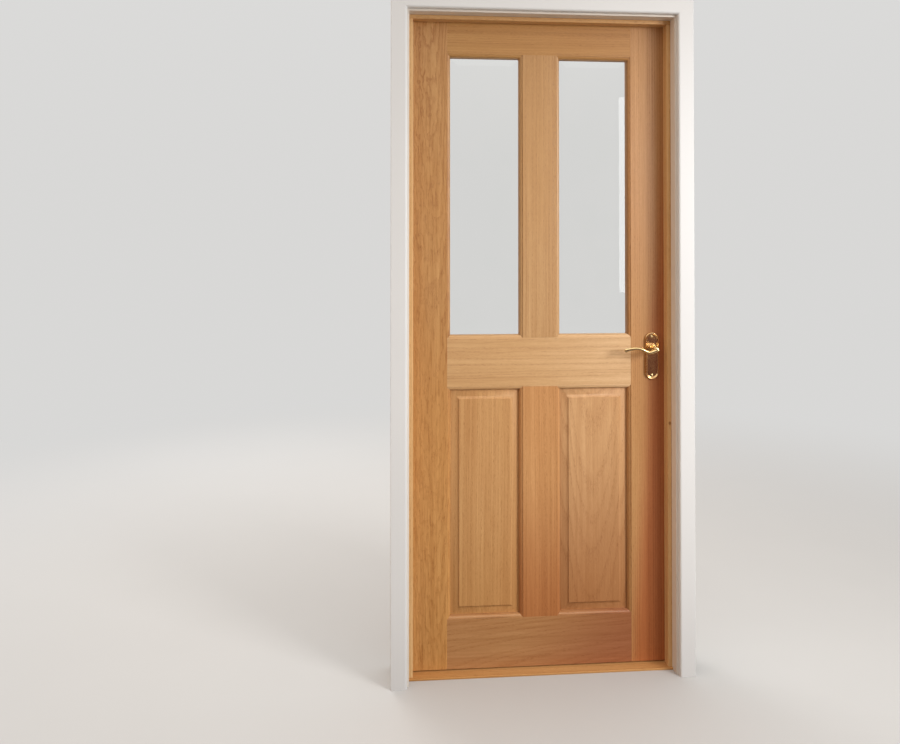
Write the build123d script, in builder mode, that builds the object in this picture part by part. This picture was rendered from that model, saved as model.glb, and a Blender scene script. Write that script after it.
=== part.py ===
from build123d import *
from math import cos, radians, sin
import os

os.makedirs("parts", exist_ok=True)

# All sizes in mm. X runs along the wall, +Y goes through the doorway to the side
# that the leaf opens to, +Z is up. The origin is on the floor, midway between the
# jambs and midway through the depth of the lining.

# Leaf
leaf_width = 826.0
leaf_height = 2040.0
leaf_thickness = 40.0
edge_gap = 3.0
under_gap = 4.0

# Lining, stops and threshold
lining_depth = 108.0
lining_thickness = 27.0
tongue_height = 9.0
tongue_thickness = 13.0
tongue_clearance = 0.2
stop_thickness = 13.0
stop_depth = 32.0
stop_gap = 0.5
stop_ease = 1.0
threshold_height = 6.0
threshold_reach = 39.0
threshold_ease = 2.5

# Architraves
architrave_width = 50.0
architrave_thickness = 15.0
architrave_margin = 6.0
architrave_round = 7.0
architrave_ease = 2.0

# Leaf members, measured between the arrises of their mouldings
stile_face = 118.0
muntin_face = 110.0
top_rail_face = 108.0
lock_rail_face = 154.0
bottom_rail_face = 154.0
panel_opening_height = 726.0

# Ovolo moulding round each opening
sticking_width = 10.0
sticking_quirk = 2.0
ovolo_radius = 8.0
glass_recess = 17.0

# Joinery of the leaf
tenon_thickness = 12.0
rail_tenon_length = 45.0
muntin_tenon_length = 30.0
tenon_shoulder = 20.0
tenon_clearance = 0.2
mortise_spare = 1.0

# Raised and fielded panels
panel_thickness = 30.0
panel_tongue = 8.0
panel_bevel = 28.0
panel_rise = 9.0
panel_expansion = 1.0
groove_depth = 12.0
groove_clearance = 0.1

# Bevelled glass
glass_thickness = 6.0
glass_edge = 3.0
glass_bevel_seen = 23.0
glass_setting = 2.0

# Butt hinges
hinge_height = 102.0
hinge_plate = 2.5
hinge_plate_reach = 30.0
hinge_pin_radius = 3.0
hinge_knuckle_radius = 5.5
hinge_standoff = 6.2
hinge_knuckles = 5
hinge_knuckle_gap = 0.4
hinge_relief = 0.5
hinge_top_down = 150.0
hinge_bottom_up = 225.0
hinge_inlay = 0.15
hinge_screw_near = 8.5
hinge_screw_far = 18.5
hinge_screw_pitch = 24.5
pin_clearance = 0.05
pin_cap_height = 2.5
pin_cap_radius = 4.2

# Wood screws
screw_head_radius = 4.2
screw_shank_radius = 2.1
screw_tip_length = 5.0
screw_slot_width = 1.0
screw_slot_depth = 1.0
hinge_screw_length = 22.0
small_screw_length = 14.0
corner_screw_length = 50.0
screw_clearance = 0.05

# Cuts run this far past the faces they open
overrun = 1.0

# Lever furniture and latch
backset = 50.0
lever_up_lock_rail = 120.0
plate_width = 45.0
plate_height = 150.0
plate_thickness = 7.0
plate_rim = 6.0
plate_recess = 3.5
plate_rim_slope = 2.0
collar_slope = 1.5
plate_screw_inset = 13.0
plate_above_lever = 48.0
collar_radius = 12.5
collar_height = 10.0
neck_radius = 8.0
neck_waist_radius = 7.0
neck_clearance = 0.08
neck_flange_radius = 10.5
neck_flange_thickness = 2.0
neck_flange_room = 0.3
neck_plain = 2.0
neck_swell = 0.6
neck_swell_down = 1.0
crown_radius = 4.8
crown_drop = 0.8
lever_standoff = 48.0
lever_length = 103.0
lever_half_height = 5.4
lever_half_depth = 6.6
arm_start = 2.0
arm_dip = 9.5
arm_dip_at = 27.0
arm_swell = 5.0
arm_swell_at = 73.0
arm_curl = 4.2
arm_sections = 10
arm_taper = 0.3
arm_tip = 0.28
spindle_side = 8.0
spindle_clearance = 0.05
spindle_depth = 30.0
spindle_short = 1.0
spindle_hole_radius = 9.5
grub_radius = 2.0
grub_from_plate = 15.0

latch_travel = 11.0
lever_travel = 40.0
case_depth = 65.0
case_height = 50.0
case_thickness = 15.0
case_wall = 1.5
case_clearance = 0.2
case_below_lever = 16.0
forend_width = 22.0
forend_height = 100.0
forend_thickness = 3.0
forend_screw_inset = 8.0
bolt_width = 11.0
bolt_height = 17.0
bolt_above_lever = 20.5
bolt_clearance = 0.15
bolt_block_length = 21.0
bolt_nose_flat = 2.0
tail_thickness = 6.0
tail_web = 3.0
tail_wall = 4.0
tail_lift = 1.0
arm_radius = 3.0
arm_slot_clearance = 0.3
follower_radius = 8.0
spring_radius = 2.3
spring_wire = 0.4
spring_turns = 7
spring_bends = 10
spring_length = 19.0
spring_post = 3.0

# Strike plate
strike_thickness = 2.0
strike_height = 76.0
strike_width = 26.0
strike_play = 0.7
strike_screw_inset = 6.7
strike_pocket = 12.0
strike_pocket_play = 1.0
strike_lip_radius = 4.5
strike_lip_height = 26.0
strike_lip_start = 110.0
strike_lip_turn = 70.0

# Places worked out from the sizes
half_leaf = leaf_width / 2
half_opening = half_leaf + edge_gap
rear = lining_depth / 2
leaf_front = rear - leaf_thickness
leaf_mid = rear - leaf_thickness / 2
leaf_bottom = threshold_height + under_gap
leaf_top = leaf_bottom + leaf_height
soffit = leaf_top + edge_gap
stop_rear = leaf_front - stop_gap
stop_front = stop_rear - stop_depth
inner_stile = half_leaf - stile_face
half_muntin = muntin_face / 2
panel_low = leaf_bottom + bottom_rail_face
panel_high = panel_low + panel_opening_height
glass_low = panel_high + lock_rail_face
glass_high = leaf_top - top_rail_face


class Opening:
    """One opening of the leaf, from arris to arris in X and Z."""

    def __init__(self, x0, x1, z0, z1):
        self.x0, self.x1, self.z0, self.z1 = x0, x1, z0, z1


panel_openings = {
    "left": Opening(-inner_stile, -half_muntin, panel_low, panel_high),
    "right": Opening(half_muntin, inner_stile, panel_low, panel_high),
}
glass_openings = {
    "left": Opening(-inner_stile, -half_muntin, glass_low, glass_high),
    "right": Opening(half_muntin, inner_stile, glass_low, glass_high),
}


def finish(builder, name):
    """Label the finished piece and write it to its own file."""
    builder.part.label = name
    export_step(builder.part, f"parts/{name}.step")


def block(x0, x1, y0, y1, z0, z1, mode=Mode.ADD):
    """A box between two corners, added to or cut from the piece being built."""
    with Locations(((x0 + x1) / 2, (y0 + y1) / 2, (z0 + z1) / 2)):
        Box(x1 - x0, y1 - y0, z1 - z0, mode=mode)


def closed_outline(points):
    """A face with straight sides between these points, in the sketch being drawn."""
    with BuildLine() as shape:
        Polyline(*points, close=True)
    make_face(shape.edges())


def crossed(opening, outline):
    """Add the solid that shows one outline across X and the same one across Z.

    Its corners are mitred, as where two lengths of one moulding meet."""
    with BuildSketch(Plane.XY.offset(opening.z0 - groove_depth)) as across:
        outline(opening.x0, opening.x1, lambda along, y: (along, y))
    extrude(across.sketch, amount=opening.z1 - opening.z0 + 2 * groove_depth)
    with BuildSketch(Plane.YZ.offset(opening.x0 - groove_depth)) as upward:
        outline(opening.z0, opening.z1, lambda along, y: (y, along))
    extrude(upward.sketch, amount=opening.x1 - opening.x0 + 2 * groove_depth, mode=Mode.INTERSECT)


def moulded_void(face, deep, way):
    """The outline of the space in front of an ovolo moulding.

    It starts at the leaf's face and goes in to the depth y = deep, with a quirk,
    a quarter round and a small flat down to the sight line. way is +1 into the
    leaf from its front and -1 from its rear."""
    flat = (sticking_width - ovolo_radius) / 2

    def outline(low, high, place):
        def edge(start, inward):
            quirk = face + way * sticking_quirk
            foot = quirk + way * ovolo_radius
            centre = start + inward * flat
            bulge = ovolo_radius * cos(radians(45))
            return (
                place(start, face - way * overrun),
                place(start, quirk),
                place(centre, quirk),
                place(centre + inward * bulge, foot - way * bulge),
                place(centre + inward * ovolo_radius, foot),
                place(start + inward * sticking_width, foot),
                place(start + inward * sticking_width, deep),
            )

        first, second = edge(low, 1), edge(high, -1)
        with BuildLine() as shape:
            for side in (first, second):
                Polyline(side[0], side[1], side[2])
                ThreePointArc(side[2], side[3], side[4])
                Polyline(side[4], side[5], side[6])
            Line(first[6], second[6])
            Line(second[0], first[0])
        make_face(shape.edges())

    return outline


def panel_outline(low, high, place):
    """Across a raised panel: tongue, bevel, small square rise and field, both faces."""
    edge = sticking_width - groove_depth + panel_expansion
    half_field, half_tongue = panel_thickness / 2, panel_tongue / 2
    half_bevel = half_tongue + panel_rise
    points = [
        (low + edge, half_tongue),
        (low + sticking_width, half_tongue),
        (low + sticking_width + panel_bevel, half_bevel),
        (low + sticking_width + panel_bevel, half_field),
        (high - sticking_width - panel_bevel, half_field),
        (high - sticking_width - panel_bevel, half_bevel),
        (high - sticking_width, half_tongue),
        (high - edge, half_tongue),
    ]
    ring = [(a, leaf_mid + h) for a, h in points] + [(a, leaf_mid - h) for a, h in reversed(points)]
    closed_outline([place(a, y) for a, y in ring])


glass_cover = sticking_width - glass_setting
glass_bevel = glass_cover + glass_bevel_seen
glass_drop = glass_thickness - glass_edge
glass_front = leaf_front + glass_recess - glass_drop * (1 - glass_cover / glass_bevel)
glass_rear = glass_front + glass_thickness


def glass_outline(low, high, place):
    """Across a bevelled pane: flat at the rear, wide bevels round its front."""
    a, b = low + glass_setting, high - glass_setting
    ring = [
        (a, glass_rear),
        (a, glass_front + glass_drop),
        (a + glass_bevel, glass_front),
        (b - glass_bevel, glass_front),
        (b, glass_front + glass_drop),
        (b, glass_rear),
    ]
    closed_outline([place(p, y) for p, y in ring])


# Spaces cut out of the leaf's members, and out of the beads behind the glass
moulding_voids, bead_voids = [], {}
for opening in panel_openings.values():
    for face, way in ((leaf_front, 1), (rear, -1)):
        with BuildPart() as void:
            crossed(opening, moulded_void(face, leaf_mid, way))
        moulding_voids.append(void.part)
for side, opening in glass_openings.items():
    with BuildPart() as void:
        crossed(opening, moulded_void(leaf_front, rear, 1))
    moulding_voids.append(void.part)
    with BuildPart() as void:
        crossed(opening, moulded_void(rear, glass_rear - overrun, -1))
    bead_voids[side] = void.part


def cut_openings():
    """Cut the mouldings, panel grooves and glazing rebates from a member."""
    for void in moulding_voids:
        add(void, mode=Mode.SUBTRACT)
    reach = groove_depth - sticking_width
    half_groove = panel_tongue / 2 + groove_clearance
    for hole in panel_openings.values():
        block(
            hole.x0 - reach, hole.x1 + reach, leaf_mid - half_groove, leaf_mid + half_groove,
            hole.z0 - reach, hole.z1 + reach, mode=Mode.SUBTRACT,
        )
    for hole in glass_openings.values():
        block(
            hole.x0, hole.x1, leaf_front + glass_recess, rear + overrun, hole.z0, hole.z1,
            mode=Mode.SUBTRACT,
        )


def upright(x0, x1, z0, z1, left, right):
    """An upright member with a mitred moulding beside each opening it borders."""
    lip = sticking_width
    points = [(x0, z0), (x1, z0)]
    for hole in right:
        points += [
            (x1, hole.z0), (x1 + lip, hole.z0 + lip),
            (x1 + lip, hole.z1 - lip), (x1, hole.z1),
        ]
    points += [(x1, z1), (x0, z1)]
    for hole in reversed(left):
        points += [
            (x0, hole.z1), (x0 - lip, hole.z1 - lip),
            (x0 - lip, hole.z0 + lip), (x0, hole.z0),
        ]
    member(points)


def crosspiece(x0, x1, z0, z1, below, above):
    """A rail with a mitred moulding along each opening it borders."""
    lip = sticking_width
    points = [(x0, z0)]
    for hole in below:
        points += [
            (hole.x0, z0), (hole.x0 + lip, z0 - lip),
            (hole.x1 - lip, z0 - lip), (hole.x1, z0),
        ]
    points += [(x1, z0), (x1, z1)]
    for hole in reversed(above):
        points += [
            (hole.x1, z1), (hole.x1 - lip, z1 + lip),
            (hole.x0 + lip, z1 + lip), (hole.x0, z1),
        ]
    points += [(x0, z1)]
    member(points)


def member(points):
    """Extrude a member's face outline through the leaf and cut its openings."""
    kept = []
    for point in points:
        if point not in kept:
            kept.append(point)
    with BuildSketch(Plane.XZ.offset(-rear)) as shape:
        closed_outline(kept)
    extrude(shape.sketch, amount=leaf_thickness)
    cut_openings()


tenon_front = leaf_mid - tenon_thickness / 2
tenon_rear = leaf_mid + tenon_thickness / 2
mortise_front = tenon_front - tenon_clearance
mortise_rear = tenon_rear + tenon_clearance


def rail_tenons(z0, z1):
    """Stub tenons on both ends of a rail."""
    for side in (-1, 1):
        ends = sorted((side * inner_stile, side * (inner_stile + rail_tenon_length)))
        block(ends[0], ends[1], tenon_front, tenon_rear, z0 + tenon_shoulder, z1 - tenon_shoulder)


def rail_mortises(side):
    """Mortises in a stile for the three rails; side is -1 left, +1 right."""
    shoulder = tenon_shoulder - tenon_clearance
    ends = sorted((side * inner_stile, side * (inner_stile + rail_tenon_length + mortise_spare)))
    for z0, z1 in ((leaf_bottom, panel_low), (panel_high, glass_low), (glass_high, leaf_top)):
        block(
            ends[0], ends[1], mortise_front, mortise_rear, z0 + shoulder, z1 - shoulder,
            mode=Mode.SUBTRACT,
        )


def muntin_tenons(z0, z1):
    """Stub tenons on both ends of a muntin."""
    reach = half_muntin - tenon_shoulder
    block(-reach, reach, tenon_front, tenon_rear, z0 - muntin_tenon_length, z0)
    block(-reach, reach, tenon_front, tenon_rear, z1, z1 + muntin_tenon_length)


def muntin_mortise(z, way):
    """A mortise in a rail for a muntin; way is the direction it goes in."""
    reach = half_muntin - tenon_shoulder + tenon_clearance
    ends = sorted((z, z + way * (muntin_tenon_length + mortise_spare)))
    block(-reach, reach, mortise_front, mortise_rear, ends[0], ends[1], mode=Mode.SUBTRACT)


def wood_screw(point, direction, length):
    """A countersunk slotted wood screw, its head flush at point, going in along direction."""
    spot = Plane(origin=point, x_dir=(1, 0, 0) if direction[2] else (0, 0, 1), z_dir=direction)
    along = Plane(origin=spot.origin, x_dir=spot.x_dir, z_dir=spot.y_dir)
    cone = screw_head_radius - screw_shank_radius
    with BuildSketch(along) as half:
        closed_outline([
            (0, 0), (screw_head_radius, 0), (screw_shank_radius, -cone),
            (screw_shank_radius, screw_tip_length - length), (0, -length),
        ])
    revolve(half.sketch, axis=Axis(spot.origin, spot.z_dir))
    with BuildSketch(spot) as slot:
        Rectangle(2 * screw_head_radius + overrun, screw_slot_width)
    extrude(slot.sketch, amount=screw_slot_depth, mode=Mode.SUBTRACT)


def screw_hole(point, direction, length):
    """The pilot hole and countersink that such a screw fills."""
    spot = Plane(origin=point, x_dir=(1, 0, 0) if direction[2] else (0, 0, 1), z_dir=direction)
    along = Plane(origin=spot.origin, x_dir=spot.x_dir, z_dir=spot.y_dir)
    head, shank = screw_head_radius + screw_clearance, screw_shank_radius + screw_clearance
    with BuildSketch(along) as half:
        closed_outline([
            (0, overrun), (head, overrun), (head, 0), (shank, shank - head),
            (shank, -length - screw_clearance), (0, -length - screw_clearance),
        ])
    revolve(half.sketch, axis=Axis(spot.origin, spot.z_dir), mode=Mode.SUBTRACT)


# Lining
jamb_outer = half_opening + lining_thickness
hinge_axis = (-(half_opening - edge_gap / 2), rear + hinge_standoff)
hinge_heights = (
    leaf_bottom + hinge_bottom_up + hinge_height / 2,
    (leaf_bottom + hinge_bottom_up + leaf_top - hinge_top_down) / 2,
    leaf_top - hinge_top_down - hinge_height / 2,
)
plate_inner = rear - hinge_plate_reach
screw_rows = (
    (plate_inner + hinge_screw_near, -1.5 * hinge_screw_pitch),
    (plate_inner + hinge_screw_far, -0.5 * hinge_screw_pitch),
    (plate_inner + hinge_screw_near, 0.5 * hinge_screw_pitch),
    (plate_inner + hinge_screw_far, 1.5 * hinge_screw_pitch),
)
lever_x = half_leaf - backset
lever_z = panel_high + lever_up_lock_rail
bolt_z = lever_z + bolt_above_lever
strike_screw_z = strike_height / 2 - strike_screw_inset
strike_front = leaf_mid - strike_width / 2
corner_screw_y = lining_depth / 4


def hinge_inlays(face, way):
    """Recesses and pilot holes for three hinge plates let into a face at x = face."""
    depth = sorted((face, face + way * hinge_plate))
    for z in hinge_heights:
        block(
            depth[0], depth[1], plate_inner - hinge_inlay, rear + overrun,
            z - hinge_height / 2 - hinge_inlay, z + hinge_height / 2 + hinge_inlay, mode=Mode.SUBTRACT,
        )
        for y, dz in screw_rows:
            screw_hole((face, y, z + dz), (way, 0, 0), hinge_screw_length)


def lining_upright(side):
    """One jamb, with its tongue up into the head; side is -1 left, +1 right."""
    xs = sorted((side * half_opening, side * jamb_outer))
    block(xs[0], xs[1], -rear, rear, 0, soffit)
    xs = sorted((side * half_opening, side * (half_opening + tongue_thickness)))
    block(xs[0], xs[1], -rear, rear, soffit, soffit + tongue_height)
    for y in (-corner_screw_y, corner_screw_y):
        corner_hole(side, y)


def corner_x(side):
    """Where the corner screws stand, in the shoulder outside the tongue."""
    return side * (jamb_outer - (lining_thickness - tongue_thickness) / 2)


def corner_hole(side, y):
    screw_hole((corner_x(side), y, soffit + lining_thickness), (0, 0, -1), corner_screw_length)


with BuildPart() as left_jamb:
    lining_upright(-1)
    hinge_inlays(-half_opening, -1)
finish(left_jamb, "left_jamb")

with BuildPart() as right_jamb:
    lining_upright(1)
    block(
        half_opening, half_opening + strike_thickness, strike_front, rear + overrun,
        bolt_z - strike_height / 2, bolt_z + strike_height / 2, mode=Mode.SUBTRACT,
    )
    pocket_half_width = bolt_width / 2 + strike_pocket_play
    pocket_half_height = bolt_height / 2 + strike_pocket_play
    block(
        half_opening, half_opening + strike_pocket, leaf_mid - pocket_half_width,
        leaf_mid + pocket_half_width, bolt_z - pocket_half_height, bolt_z + pocket_half_height,
        mode=Mode.SUBTRACT,
    )
    for dz in (-strike_screw_z, strike_screw_z):
        screw_hole((half_opening, leaf_mid, bolt_z + dz), (1, 0, 0), hinge_screw_length)
finish(right_jamb, "right_jamb")

with BuildPart() as head_jamb:
    block(-jamb_outer, jamb_outer, -rear, rear, soffit, soffit + lining_thickness)
    for side in (-1, 1):
        xs = sorted((side * half_opening, side * (half_opening + tongue_thickness + tongue_clearance)))
        block(
            xs[0], xs[1], -rear, rear, soffit, soffit + tongue_height + tongue_clearance,
            mode=Mode.SUBTRACT,
        )
        for y in (-corner_screw_y, corner_screw_y):
            corner_hole(side, y)
finish(head_jamb, "head_jamb")

with BuildPart() as corner_screws:
    for side in (-1, 1):
        for y in (-corner_screw_y, corner_screw_y):
            wood_screw((corner_x(side), y, soffit + lining_thickness), (0, 0, -1), corner_screw_length)
finish(corner_screws, "corner_screws")

# Stops, with their showing arrises eased
for name, side in (("left_stop", -1), ("right_stop", 1)):
    xs = sorted((side * (half_opening - stop_thickness), side * half_opening))
    with BuildPart() as stop:
        block(xs[0], xs[1], stop_front, stop_rear, threshold_height, soffit - stop_thickness)
        showing = stop.edges().filter_by(Axis.Z).sort_by(lambda edge: abs(edge.center().X))
        fillet(showing[:2], stop_ease)
    finish(stop, name)

with BuildPart() as head_stop:
    block(-half_opening, half_opening, stop_front, stop_rear, soffit - stop_thickness, soffit)
    fillet(head_stop.edges().filter_by(Axis.X).group_by(Axis.Z)[0], stop_ease)
finish(head_stop, "head_stop")

with BuildPart() as threshold_strip:
    block(-half_opening, half_opening, leaf_front - threshold_reach, rear, 0, threshold_height)
    fillet(threshold_strip.edges().filter_by(Axis.X).group_by(Axis.Z)[-1], threshold_ease)
finish(threshold_strip, "threshold_strip")

# Architraves, mitred at the top corners
casing_in = half_opening + architrave_margin
casing_out = casing_in + architrave_width
casing_low = soffit + architrave_margin
casing_high = casing_low + architrave_width
casing_faces = {"front": (-rear, 0), "rear": (rear + architrave_thickness, -1)}


def round_arrises(piece, along, across, showing):
    """Round an architrave's inner showing arris and ease its outer one.

    along is the axis it runs on, across sorts from its inner edge to its outer one
    and showing picks its front face with 0 and its rear face with -1."""
    for which, radius in ((0, architrave_round), (-1, architrave_ease)):
        arrises = piece.edges().filter_by(along).group_by(Axis.Y)[showing].sort_by(across)
        fillet(arrises[which], radius)


for face_name, (start, showing) in casing_faces.items():
    for name, side in (("left", -1), ("right", 1)):
        with BuildPart() as architrave:
            with BuildSketch(Plane.XZ.offset(-start)) as face:
                closed_outline([
                    (side * casing_in, 0), (side * casing_out, 0),
                    (side * casing_out, casing_high), (side * casing_in, casing_low),
                ])
            extrude(face.sketch, amount=architrave_thickness)
            round_arrises(architrave, Axis.Z, lambda edge: abs(edge.center().X), showing)
        finish(architrave, f"{face_name}_{name}_architrave")
    with BuildPart() as architrave:
        with BuildSketch(Plane.XZ.offset(-start)) as face:
            closed_outline([
                (-casing_in, casing_low), (casing_in, casing_low),
                (casing_out, casing_high), (-casing_out, casing_high),
            ])
        extrude(face.sketch, amount=architrave_thickness)
        round_arrises(architrave, Axis.X, Axis.Z, showing)
    finish(architrave, f"{face_name}_head_architrave")

# Places of the latch and the lever furniture
case_front = half_leaf - forend_thickness
case_back = case_front - case_depth
case_low = lever_z - case_below_lever
case_high = case_low + case_height
case_mid = (case_low + case_high) / 2
forend_screw_z = forend_height / 2 - forend_screw_inset
plate_mid = lever_z + plate_above_lever - plate_height / 2
plate_screw_z = plate_height / 2 - plate_screw_inset
plate_floor = plate_thickness - plate_recess
leaf_faces = {"front": (leaf_front, -1), "rear": (rear, 1)}
case_rear_y = leaf_mid + case_thickness / 2
case_front_y = leaf_mid - case_thickness / 2
square = spindle_side / 2 + spindle_clearance


def across_leaf(radius, x, z, y0, y1, mode=Mode.ADD):
    """A round solid or hole whose axis runs through the leaf, along Y."""
    with BuildSketch(Plane(origin=(x, y0, z), x_dir=(1, 0, 0), z_dir=(0, 1, 0))) as disc:
        Circle(radius)
    extrude(disc.sketch, amount=y1 - y0, mode=mode)


def face_plane(face, way, z, out=0.0):
    """A plane over the lever's axis, facing out of the leaf's face at y = face."""
    return Plane(origin=(lever_x, face + way * out, z), x_dir=(-way, 0, 0), z_dir=(0, way, 0))


def spindle_hole(y0, y1):
    """The square hole that the spindle fits, between two depths."""
    block(
        lever_x - square, lever_x + square, y0, y1, lever_z - square, lever_z + square,
        mode=Mode.SUBTRACT,
    )


def plate_screw_spots():
    """Where the backplates' screws stand, and the direction each goes in."""
    spots = []
    for face, way in leaf_faces.values():
        for dz in (-plate_screw_z, plate_screw_z):
            spots.append(((lever_x, face + way * plate_floor, plate_mid + dz), (0, -way, 0)))
    return spots


# Stiles, rails and muntins
with BuildPart() as hinge_stile:
    upright(
        -half_leaf, -inner_stile, leaf_bottom, leaf_top, [],
        [panel_openings["left"], glass_openings["left"]],
    )
    rail_mortises(-1)
    hinge_inlays(-half_leaf, 1)
finish(hinge_stile, "hinge_stile")

with BuildPart() as latch_stile:
    upright(
        inner_stile, half_leaf, leaf_bottom, leaf_top,
        [panel_openings["right"], glass_openings["right"]], [],
    )
    rail_mortises(1)
    block(
        case_back - case_clearance, half_leaf, case_front_y - case_clearance,
        case_rear_y + case_clearance, case_low - case_clearance, case_high + case_clearance,
        mode=Mode.SUBTRACT,
    )
    block(
        case_front, half_leaf, leaf_mid - forend_width / 2, leaf_mid + forend_width / 2,
        case_mid - forend_height / 2, case_mid + forend_height / 2, mode=Mode.SUBTRACT,
    )
    across_leaf(spindle_hole_radius, lever_x, lever_z, leaf_front, rear, mode=Mode.SUBTRACT)
    for dz in (-forend_screw_z, forend_screw_z):
        screw_hole((half_leaf, leaf_mid, case_mid + dz), (-1, 0, 0), hinge_screw_length)
    for spot, direction in plate_screw_spots():
        screw_hole(spot, direction, small_screw_length)
finish(latch_stile, "latch_stile")

with BuildPart() as top_rail:
    crosspiece(-inner_stile, inner_stile, glass_high, leaf_top, glass_openings.values(), [])
    rail_tenons(glass_high, leaf_top)
    muntin_mortise(glass_high, 1)
finish(top_rail, "top_rail")

with BuildPart() as lock_rail:
    crosspiece(
        -inner_stile, inner_stile, panel_high, glass_low,
        panel_openings.values(), list(glass_openings.values()),
    )
    rail_tenons(panel_high, glass_low)
    muntin_mortise(glass_low, -1)
    muntin_mortise(panel_high, 1)
finish(lock_rail, "lock_rail")

with BuildPart() as bottom_rail:
    crosspiece(-inner_stile, inner_stile, leaf_bottom, panel_low, [], list(panel_openings.values()))
    rail_tenons(leaf_bottom, panel_low)
    muntin_mortise(panel_low, -1)
finish(bottom_rail, "bottom_rail")

with BuildPart() as upper_muntin:
    upright(
        -half_muntin, half_muntin, glass_low, glass_high,
        [glass_openings["left"]], [glass_openings["right"]],
    )
    muntin_tenons(glass_low, glass_high)
finish(upper_muntin, "upper_muntin")

with BuildPart() as lower_muntin:
    upright(
        -half_muntin, half_muntin, panel_low, panel_high,
        [panel_openings["left"]], [panel_openings["right"]],
    )
    muntin_tenons(panel_low, panel_high)
finish(lower_muntin, "lower_muntin")

# Panels, panes and the beads that hold the panes
for side, hole in panel_openings.items():
    with BuildPart() as panel:
        crossed(hole, panel_outline)
    finish(panel, f"{side}_panel")

for side, hole in glass_openings.items():
    with BuildPart() as pane:
        crossed(hole, glass_outline)
    finish(pane, f"{side}_glass")
    inner = Opening(
        hole.x0 + sticking_width, hole.x1 - sticking_width,
        hole.z0 + sticking_width, hole.z1 - sticking_width,
    )
    lower_left = ((hole.x0, hole.z0), (inner.x0, inner.z0))
    lower_right = ((hole.x1, hole.z0), (inner.x1, inner.z0))
    upper_right = ((hole.x1, hole.z1), (inner.x1, inner.z1))
    upper_left = ((hole.x0, hole.z1), (inner.x0, inner.z1))
    for place, first, second in (
        ("bottom", lower_left, lower_right),
        ("right", lower_right, upper_right),
        ("top", upper_right, upper_left),
        ("left", upper_left, lower_left),
    ):
        with BuildPart() as bead:
            with BuildSketch(Plane.XZ.offset(-rear)) as shape:
                closed_outline([first[0], second[0], second[1], first[1]])
            extrude(shape.sketch, amount=rear - glass_rear)
            add(bead_voids[side], mode=Mode.SUBTRACT)
        finish(bead, f"{side}_{place}_bead")


# Butt hinges: plates let into the jamb and the leaf, knuckles behind both
knuckle_length = (hinge_height - (hinge_knuckles - 1) * hinge_knuckle_gap) / hinge_knuckles
knuckle_pitch = knuckle_length + hinge_knuckle_gap


def hinge_half(z, face, way, own, other):
    """One plate with its own knuckles, cut back to clear the other plate's."""
    xs = sorted((face, face + way * hinge_plate))
    block(xs[0], xs[1], plate_inner, hinge_axis[1], z - hinge_height / 2, z + hinge_height / 2)
    for index in own + other:
        middle = z - hinge_height / 2 + knuckle_length / 2 + index * knuckle_pitch
        with Locations((hinge_axis[0], hinge_axis[1], middle)):
            if index in own:
                Cylinder(hinge_knuckle_radius, knuckle_length)
            else:
                Cylinder(
                    hinge_knuckle_radius + hinge_relief, knuckle_length + 2 * hinge_knuckle_gap,
                    mode=Mode.SUBTRACT,
                )
    with Locations((hinge_axis[0], hinge_axis[1], z)):
        Cylinder(hinge_pin_radius + pin_clearance, hinge_height + overrun, mode=Mode.SUBTRACT)
    for y, dz in screw_rows:
        screw_hole((face, y, z + dz), (way, 0, 0), hinge_screw_length)


frame_knuckles = list(range(0, hinge_knuckles, 2))
leaf_knuckles = list(range(1, hinge_knuckles, 2))
for place, z in zip(("bottom", "middle", "top"), hinge_heights):
    with BuildPart() as plate:
        hinge_half(z, -half_opening, -1, frame_knuckles, leaf_knuckles)
    finish(plate, f"{place}_hinge_frame_plate")
    with BuildPart() as plate:
        hinge_half(z, -half_leaf, 1, leaf_knuckles, frame_knuckles)
    finish(plate, f"{place}_hinge_leaf_plate")
    with BuildPart() as pin:
        with Locations((hinge_axis[0], hinge_axis[1], z)):
            Cylinder(hinge_pin_radius, hinge_height)
        for way in (-1, 1):
            cap_z = z + way * (hinge_height + pin_cap_height) / 2
            with Locations((hinge_axis[0], hinge_axis[1], cap_z)):
                Cylinder(pin_cap_radius, pin_cap_height)
        ends = pin.edges().filter_by(GeomType.CIRCLE).sort_by(Axis.Z)
        chamfer([ends[0], ends[-1]], pin_cap_height / 2)
    finish(pin, f"{place}_hinge_pin")

for name, face, way in (("hinge_frame_screws", -half_opening, -1), ("hinge_leaf_screws", -half_leaf, 1)):
    with BuildPart() as screws:
        for z in hinge_heights:
            for y, dz in screw_rows:
                wood_screw((face, y, z + dz), (way, 0, 0), hinge_screw_length)
    finish(screws, name)

# Strike plate, with a lip that curls back out of the closing bolt's way
with BuildPart() as strike_plate:
    block(
        half_opening, half_opening + strike_thickness, strike_front, rear,
        bolt_z - strike_height / 2, bolt_z + strike_height / 2,
    )
    lip_x = half_opening + strike_lip_radius
    inner_lip = strike_lip_radius - strike_thickness
    with BuildSketch(Plane.XY.offset(bolt_z - strike_lip_height / 2)) as lip:
        with BuildLine():
            outside = CenterArc((lip_x, rear), strike_lip_radius, strike_lip_start, strike_lip_turn)
            inside = CenterArc((lip_x, rear), inner_lip, strike_lip_start, strike_lip_turn)
            Line(outside @ 0, inside @ 0)
            Line(outside @ 1, inside @ 1)
        make_face()
    extrude(lip.sketch, amount=strike_lip_height)
    keep_half_width = bolt_width / 2 + strike_play
    keep_half_height = bolt_height / 2 + strike_play
    block(
        half_opening - overrun, half_opening + strike_thickness + overrun,
        leaf_mid - keep_half_width - strike_play, leaf_mid + keep_half_width,
        bolt_z - keep_half_height, bolt_z + keep_half_height, mode=Mode.SUBTRACT,
    )
    for dz in (-strike_screw_z, strike_screw_z):
        screw_hole((half_opening, leaf_mid, bolt_z + dz), (1, 0, 0), hinge_screw_length)
finish(strike_plate, "strike_plate")

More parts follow.
